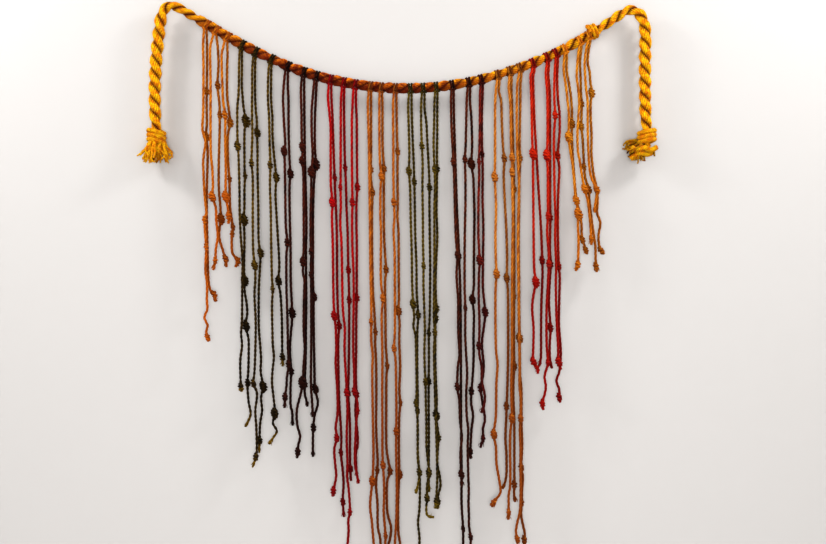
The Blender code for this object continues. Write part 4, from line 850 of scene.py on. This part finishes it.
      (541.3, 245), (541.8, 260.4, 6), (542.0, 276), (540.9, 305), (540.6, 330), (540.6, 350),
      (540.2, 359), (538.4, 366))),
    ("red_pendant_2", "red",
     ((545.0, 76), (546.4, 95), (546.8, 125), (546.6, 143), (546.1, 156.6, 8.5), (546.9, 172), (547.0, 195),
      (547.1, 216.4, 5.5), (546.3, 232), (547.6, 250), (547.9, 264, 6), (547.0, 285), (545.9, 305),
      (545.6, 325), (545.9, 345), (547.0, 362, 5), (544.8, 371), (543.7, 377), (545.0, 386), (543.4, 395),
      (541.2, 402.4, 6), (542.6, 409)),
     ((547.9, 76), (549.3, 95), (549.5, 125), (549.5, 155), (549.7, 175), (549.6, 198), (549.9, 217.3, 6),
      (549.6, 235), (549.4, 250), (550.3, 264, 6), (549.2, 282), (548.5, 303), (550.0, 327.3, 6.5),
      (549.2, 345), (549.4, 358), (551.6, 368))),
    ("red_pendant_3", "red",
     ((553.6, 80), (553.4, 100), (554.3, 116.4, 6), (553.4, 130), (553.0, 145), (553.3, 170), (553.8, 198),
      (554.7, 217), (554.3, 238), (555.2, 264), (554.9, 284), (555.4, 310), (556.2, 328), (557.2, 346),
      (557.6, 361.3, 7), (560.2, 369)),
     ((556.6, 80), (557.4, 99), (559.0, 114), (559.1, 132), (557.9, 146), (557.3, 155.8, 6), (558.8, 170),
      (558.0, 187), (557.4, 205), (557.4, 235), (558.3, 266.2, 6), (559.2, 278), (558.6, 305),
      (558.4, 325), (560.2, 351), (559.0, 370), (556.0, 380), (558.6, 389), (558.7, 396.6, 6),
      (559.9, 402))),

    ("golden_pendant_1", "golden",
     ((562.8, 72), (564.8, 86), (566.4, 100), (567.8, 114), (567.9, 126), (567.6, 138.4, 8), (569.4, 152),
      (571.6, 166), (573.2, 182), (574.0, 192), (575.0, 200.7, 7), (577.2, 214.8, 8.5), (576.9, 225),
      (577.5, 240), (577.2, 255), (576.7, 264.5, 6), (574.8, 271)),
     ((566.2, 72), (568.4, 84), (570.4, 98), (571.4, 112), (571.2, 123.8, 7.5), (571.4, 137), (571.9, 152),
      (573.0, 168), (574.3, 184), (576.0, 201), (579.0, 212), (580.9, 225), (581.0, 232),
      (581.8, 239.5, 6), (585.2, 249.6, 5.5), (586.6, 254))),
    ("golden_pendant_2", "golden",
     ((576.4, 64), (575.7, 78), (577.2, 90), (578.2, 104), (577.2, 120), (576.4, 136), (576.9, 152),
      (578.8, 162), (580.6, 174), (583.4, 189.5, 7), (586.4, 200), (588.0, 212), (589.4, 226),
      (590.0, 238.8, 5), (590.4, 245)),
     ((579.4, 64), (580.0, 78), (580.3, 92), (581.0, 104, 6), (581.0, 115), (580.6, 126.3, 6.5),
      (581.9, 138), (582.8, 154), (583.6, 167, 5), (584.6, 178), (588.0, 189.5, 7), (588.8, 201),
      (590.2, 213), (591.8, 226), (593.4, 237), (594.8, 248), (594.9, 258), (595.6, 266.2, 6),
      (596.0, 272))),
    ("golden_pendant_3", "golden",
     ((583.7, 62), (584.0, 76), (585.0, 90), (586.6, 104), (586.6, 126), (586.9, 142), (587.5, 156),
      (588.2, 167), (590.2, 178), (595.4, 190, 6.5), (595.0, 199), (593.9, 206), (593.7, 213)),
     ((587.0, 62), (589.0, 73), (589.8, 84), (591.4, 93.2, 7), (590.0, 104), (590.1, 120), (590.9, 136),
      (590.7, 152), (591.6, 164), (593.0, 175), (596.4, 191, 5.5), (596.9, 203), (596.4, 213),
      (599.6, 223), (598.0, 234), (598.2, 244), (600.5, 250.4, 6), (603.2, 254))),
)

# For each dye: the light strand, the dark strand, the lower end's dye, the painted shade between the strands
DYES = {
    "orange": ((0.84, 0.53, 0.12), (0.62, 0.33, 0.05), (0.78, 0.42, 0.07), (0.50, 0.23, 0.03)),
    "dark_olive": ((0.47, 0.36, 0.06), (0.10, 0.07, 0.02), (0.27, 0.19, 0.04), (0.05, 0.03, 0.01)),
    "dark_brown": ((0.38, 0.14, 0.06), (0.15, 0.04, 0.02), (0.24, 0.09, 0.04), (0.06, 0.02, 0.01)),
    "crimson": ((0.76, 0.05, 0.06), (0.54, 0.03, 0.04), (0.56, 0.05, 0.05), (0.34, 0.02, 0.03)),
    "orange_brown": ((0.80, 0.49, 0.15), (0.57, 0.29, 0.07), (0.60, 0.31, 0.09), (0.42, 0.18, 0.03)),
    "olive_green": ((0.45, 0.37, 0.08), (0.10, 0.08, 0.02), (0.36, 0.29, 0.06), (0.05, 0.04, 0.01)),
    "umber": ((0.44, 0.19, 0.08), (0.17, 0.06, 0.03), (0.30, 0.11, 0.05), (0.07, 0.03, 0.01)),
    "red_umber": ((0.56, 0.17, 0.10), (0.26, 0.07, 0.05), (0.38, 0.10, 0.07), (0.10, 0.03, 0.02)),
    "ochre": ((0.85, 0.56, 0.20), (0.62, 0.34, 0.09), (0.60, 0.32, 0.09), (0.44, 0.21, 0.05)),
    "red": ((0.84, 0.22, 0.05), (0.64, 0.09, 0.02), (0.60, 0.06, 0.04), (0.40, 0.03, 0.01)),
    "golden": ((0.88, 0.60, 0.14), (0.65, 0.36, 0.05), (0.82, 0.50, 0.10), (0.46, 0.22, 0.04)),
}
CORD_PATCHES = {"Scale": 90.0, "Detail": 3.0}
# Shares of a leg's length between which its lower end's dye comes in, and a green one's pale tip
LOWER_STRETCH = (0.35, 0.7)
TIP_STRETCH = (0.965, 0.985)
TIP_BRIGHTNESS = 1.1
# What makes a place dark: the patches, its strand, a tip, and the level that these are set against
DARK_PATCH = 2.6
DARK_STRAND = 0.9
DARK_TIP = -0.6
DARK_LEVEL = -1.3
CORD_SHOWN_FROM = 0.5
CORD_BUMP = 0.25


def pendant_dye(name):
    """Strands of one dye, from a light to a dark one, uneven along the cord."""
    light, dark, low, groove_shade = DYES[name]
    made, tree = fibre_material(name + "_fibre")
    where = joined(tree, "ShaderNodeTexCoord")["Object"]
    share = marked(tree, "share")
    patch = worked(tree, "TexNoise", {"Vector": where, **CORD_PATCHES})
    lower = ranged(tree, share, *LOWER_STRETCH)
    tip = ranged(tree, share, *TIP_STRETCH, 0.0, 1.0 if name in GREENS else 0.0)
    tip_dye = dye([TIP_BRIGHTNESS * part for part in light])
    body = mixed(tree, tip, mixed(tree, lower, dye(light), dye(low)), tip_dye)
    level = maths(tree, "MULTIPLY_ADD", tip, DARK_TIP, DARK_LEVEL)
    level = maths(tree, "MULTIPLY_ADD", marked(tree, "strand"), DARK_STRAND, level)
    uneven = maths(tree, "MULTIPLY_ADD", patch, DARK_PATCH, level)
    colour = mixed(tree, worked(tree, "Clamp", {0: uneven}), body, dye(dark))
    shade_fibre(made, colour, groove_shade, CORD_SHOWN_FROM, CORD_BUMP)
    return made


pendant_dyes = {name: pendant_dye(name) for name in DYES}
cord_tree = laid_cord_tree("laid_cord", False)
span = [Vector((x, y)) for x, y, _, _ in rope_run if LEFT_BEND[0] < x < RIGHT_BEND_X]


def rope_frame(layout_x):
    """The rope's centre at a layout x of its span, its direction to the right, and the upward normal."""
    after = next(k for k, spot in enumerate(span) if spot.x > layout_x)
    left, right = span[after - 1], span[after]
    centre = left.lerp(right, (layout_x - left.x) / (right.x - left.x))
    run = (span[after + 1] - span[after - 2]).normalized()
    along = Vector((run.x, 0.0, -run.y))
    return to_world(*centre), along, Vector((-along.z, 0.0, along.x))


def hitch_places(centre, along, up):
    """The lark's head: up the front, over the top, down the back, and out to the bar that holds both legs."""
    front = Vector((0.0, -1.0, 0.0))
    outer = HITCH_SPREAD * HITCH_SIDE
    ring = ROPE_SPAN_RADIUS + HITCH_GAP + HITCH_CORD_RADIUS
    bar = ring + HITCH_BAR * HITCH_CORD_RADIUS

    def place(side_shift, angle, radius):
        """A place beside the hitch's middle, by its angle round the rope from the front and its reach."""
        turned = math.radians(angle)
        out = (front * math.cos(turned) + up * math.sin(turned)) * radius
        return centre + (along * side_shift + out) * MM

    half = []
    for angle in HITCH_ANGLES:
        spread = max(0.0, min(1.0, (angle - HITCH_SPREAD_FROM) / HITCH_SPREAD_OVER))
        half.append((HITCH_SIDE + (outer - HITCH_SIDE) * spread, angle, ring))
    half += [(outer, HITCH_TURN[0], ring + HITCH_TURN_SHARE * (bar - ring)),
             (outer - HITCH_TURN_TUCK, HITCH_TURN[1], bar),
             (HITCH_SIDE + HITCH_TURN_END[0], HITCH_TURN[2], bar + HITCH_TURN_END[1])]
    left = [place(-shift, angle, radius) for shift, angle, radius in half]
    return left + [place(shift, angle, radius) for shift, angle, radius in reversed(half)]


def leg_line(route, lane, outward, start, exit_point):
    """The cord's own line from behind the hitch's bar to its end, wound where it has a knot, its radii, and
    the cores of its knots."""
    base = smooth_run([start, exit_point] + [(*point[:2], lane) for point in route], LINE_STEP)
    reach = [0.0]
    for a, b in zip(base, base[1:]):
        reach.append(reach[-1] + math.dist(a, b))
    total = reach[-1]

    def base_at(s):
        """The cord's place before it is knotted, and its direction."""
        s = max(0.0, min(total - JUST_SHORT, s))
        high = bisect_right(reach, s)
        before, after = Vector(base[high - 1]), Vector(base[high])
        share = (s - reach[high - 1]) / (reach[high] - reach[high - 1])
        return before.lerp(after, share), (after - before).normalized()

    def opening(share):
        """How full a knot is at a share of its length."""
        return math.sin(math.pi * share) ** KNOT_OPENING

    def bulged(spot, width, full):
        """A place in a knot's middle, moved out so that the knot clears what lies behind it."""
        return spot + Vector((0, 0, outward * (width / 2 - CORD_RADIUS) * full))

    def wind(begin, length, width):
        """Winds the cord round its line for a knot's length."""
        turns = max(KNOT_LEAST_TURNS, round(2 * length / KNOT_TURN) / 2)
        winding = KNOT_FULLNESS * width / 2 - KNOT_CORD_RADIUS
        count = round(turns * KNOT_STEPS)
        for k in range(count):
            t = k / count
            spot, direction = base_at(begin + length * t)
            side = direction.cross(Vector((0, 0, 1))).normalized()
            out = side.cross(direction)
            full = opening(t)
            angle = 2 * math.pi * turns * t
            offset = (side * math.cos(angle) + out * math.sin(angle)) * winding * full
            slant = direction * (KNOT_SLANT * winding * math.cos(angle) * full)
            points.append(bulged(spot, width, full) + offset + slant)
            radii.append(CORD_RADIUS + (KNOT_CORD_RADIUS - CORD_RADIUS) * full)

    def core(begin, length, width):
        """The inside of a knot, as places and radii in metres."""
        shares = [k / KNOT_CORE_STEPS for k in range(KNOT_CORE_STEPS + 1)]
        fulls = [opening(share) for share in shares]
        return ([to_world(*bulged(base_at(begin + length * share)[0], width, full))
                 for share, full in zip(shares, fulls)],
                [(CORD_RADIUS + (KNOT_CORE_SHARE * width / 2 - CORD_RADIUS) * full) * MM for full in fulls])

    # From knot to knot, and from the last one on to the end, which is given as a knot without a width
    points, radii, cores = [], [], []
    s = 0.0
    for x, y, width in [point for point in route if len(point) == 3] + [(0, 0, 0)]:
        length = width * KNOT_LENGTH_RATIO
        middle = reach[min(range(len(base)), key=lambda k: abs(base[k][1] - y))]
        stop = middle - length / 2 if width else total
        count = max(1, round((stop - s) / CORD_STEP))
        points += [base_at(s + (stop - s) * k / count)[0] for k in range(count)]
        radii += [CORD_RADIUS] * count
        if width:
            wind(stop, length, width)
            cores.append(core(stop, length, width))
            s = middle + length / 2
    points.append(base_at(total)[0])
    radii.append(CORD_RADIUS)
    for k in range(HITCH_TAPER_STEPS):
        radii[k] = HITCH_CORD_RADIUS + (CORD_RADIUS - HITCH_CORD_RADIUS) * k / HITCH_TAPER_STEPS
    return [to_world(*point) for point in points], [radius * MM for radius in radii], cores


def layout_of(place):
    """A world place as layout x, layout y and depth in front."""
    return (place.x / MM + LEFT_BEND[0], LEFT_BEND[1] - place.z / MM, -place.y / MM)


legs = []
for number, (layout_x, (name, colour, *routes)) in enumerate(zip(TIED_AT, PENDANTS)):
    centre, along, up = rope_frame(layout_x)
    places = [layout_of(place) for place in hitch_places(centre, along, up)]
    hitch_run = [to_world(*spot) for spot in smooth_run(places, HITCH_STEP)]
    sizes = dict(CORD_FRAY, **(GREEN_LAY if colour in GREENS else CORD_LAY))
    sizes.update({"Sides": CORD_SIDES, "Material": pendant_dyes[colour], "Fray Yarns": 0,
                  "Tone": LESS_SHADED_HITCH_TONES.get(colour, HITCH_SHADE_TONE)})
    hitch = laid_cord(name + "_hitch", [even(hitch_run, HITCH_CORD_RADIUS)], cord_tree, sizes)
    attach(hitch, name)
    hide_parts(name)
    for side, route, start in zip(LEGS, routes, (places[0], places[-1])):
        lane, exit_depth, outward, tone = LEGS[side]
        below = ((start[0] + route[0][0]) / 2, layout_of(centre)[1] + HITCH_DROP, exit_depth)
        points, radii, cores = leg_line(route, lane, outward, start, below)
        # The leg's tone holds the right leg's painted shade as well as its own darker tone.
        sizes.update({"Fray Yarns": CORD_FRAY_YARNS, "Seed": CORD_SEED_STEP * number, "Tone": tone})
        leg = laid_cord(f"{name}_{side}_leg", [(points, radii)] + cores, cord_tree, sizes)
        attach(leg, name)
        legs.append((leg, points, any(len(point) == 3 for point in route[-2:])))

# The legs are sorted so that those that reach lowest come first
legs.sort(key=lambda entry: entry[1][-1].z)


# Backdrop, floor and light
# A plain pale backdrop close behind the cords takes their soft shadows and is clear from behind, and a
# pale floor lies below. Four soft lamps and an even pale surround light the cords.
STAGE_COLOUR = (0.726, 0.717, 0.711)
STAGE_ROUGHNESS = 0.9
STAGE_LEFT = -3
STAGE_RIGHT = 3.5
STAGE_TOP = 2.5
STAGE_DEPTH = 3
BACKDROP_Y = 0.0125
FLOOR_Z = -0.62
SURROUND_COLOUR = (1.0, 0.99, 0.97, 1.0)
SURROUND_STRENGTH = 0.68
# Name, place, what it is turned to, size, power
LAMPS = (
    ("left_light", (-0.54, -0.3, 0.36), (0.1, 0, -0.16), 0.18, 3.9),
    ("right_light", (0.9, -0.33, 0.4), (0.4, 0, -0.16), 0.18, 3.4),
    ("front_light", (0.25, -1.5, -0.33), (0.25, 0, -0.48), 0.5, 9.8),
    ("back_light", (0.3, 1.8, 0.8), (0.25, 0, -0.25), 1.0, 10),
)


def stage_plane(name, corners, clear_from_behind):
    """A flat, pale, matt surface."""
    mesh = bpy.data.meshes.new(name)
    mesh.from_pydata(corners, [], [(0, 1, 2, 3)])
    material = bpy.data.materials.new(name)
    material.use_nodes = True
    tree = material.node_tree
    shader = tree.nodes["Principled BSDF"]
    shader.inputs["Base Color"].default_value = dye(STAGE_COLOUR)
    shader.inputs["Roughness"].default_value = STAGE_ROUGHNESS
    if clear_from_behind:
        behind = joined(tree, "ShaderNodeNewGeometry")["Backfacing"]
        surface = worked(tree, "MixShader", {
            0: behind, 1: shader.outputs[0], 2: worked(tree, "BsdfTransparent")})
        tree.links.new(surface, tree.nodes["Material Output"].inputs["Surface"])
    mesh.materials.append(material)
    placed(name, mesh)


stage_plane("wall", [(STAGE_LEFT, BACKDROP_Y, FLOOR_Z), (STAGE_RIGHT, BACKDROP_Y, FLOOR_Z),
                     (STAGE_RIGHT, BACKDROP_Y, STAGE_TOP), (STAGE_LEFT, BACKDROP_Y, STAGE_TOP)], True)
stage_plane("floor", [(STAGE_LEFT, -STAGE_DEPTH, FLOOR_Z), (STAGE_RIGHT, -STAGE_DEPTH, FLOOR_Z),
                      (STAGE_RIGHT, STAGE_DEPTH, FLOOR_Z), (STAGE_LEFT, STAGE_DEPTH, FLOOR_Z)], False)

world = bpy.data.worlds.new("studio")
world.use_nodes = True
world.node_tree.nodes["Background"].inputs["Color"].default_value = SURROUND_COLOUR
world.node_tree.nodes["Background"].inputs["Strength"].default_value = SURROUND_STRENGTH
bpy.context.scene.world = world

for name, place, target, size, power in LAMPS:
    lamp_data = bpy.data.lights.new(name, "AREA")
    lamp_data.shape = "SQUARE"
    lamp_data.size = size
    lamp_data.energy = power
    lamp = placed(name, lamp_data)
    lamp.location = place
    lamp.rotation_euler = (Vector(target) - Vector(place)).to_track_quat("-Z", "Y").to_euler()
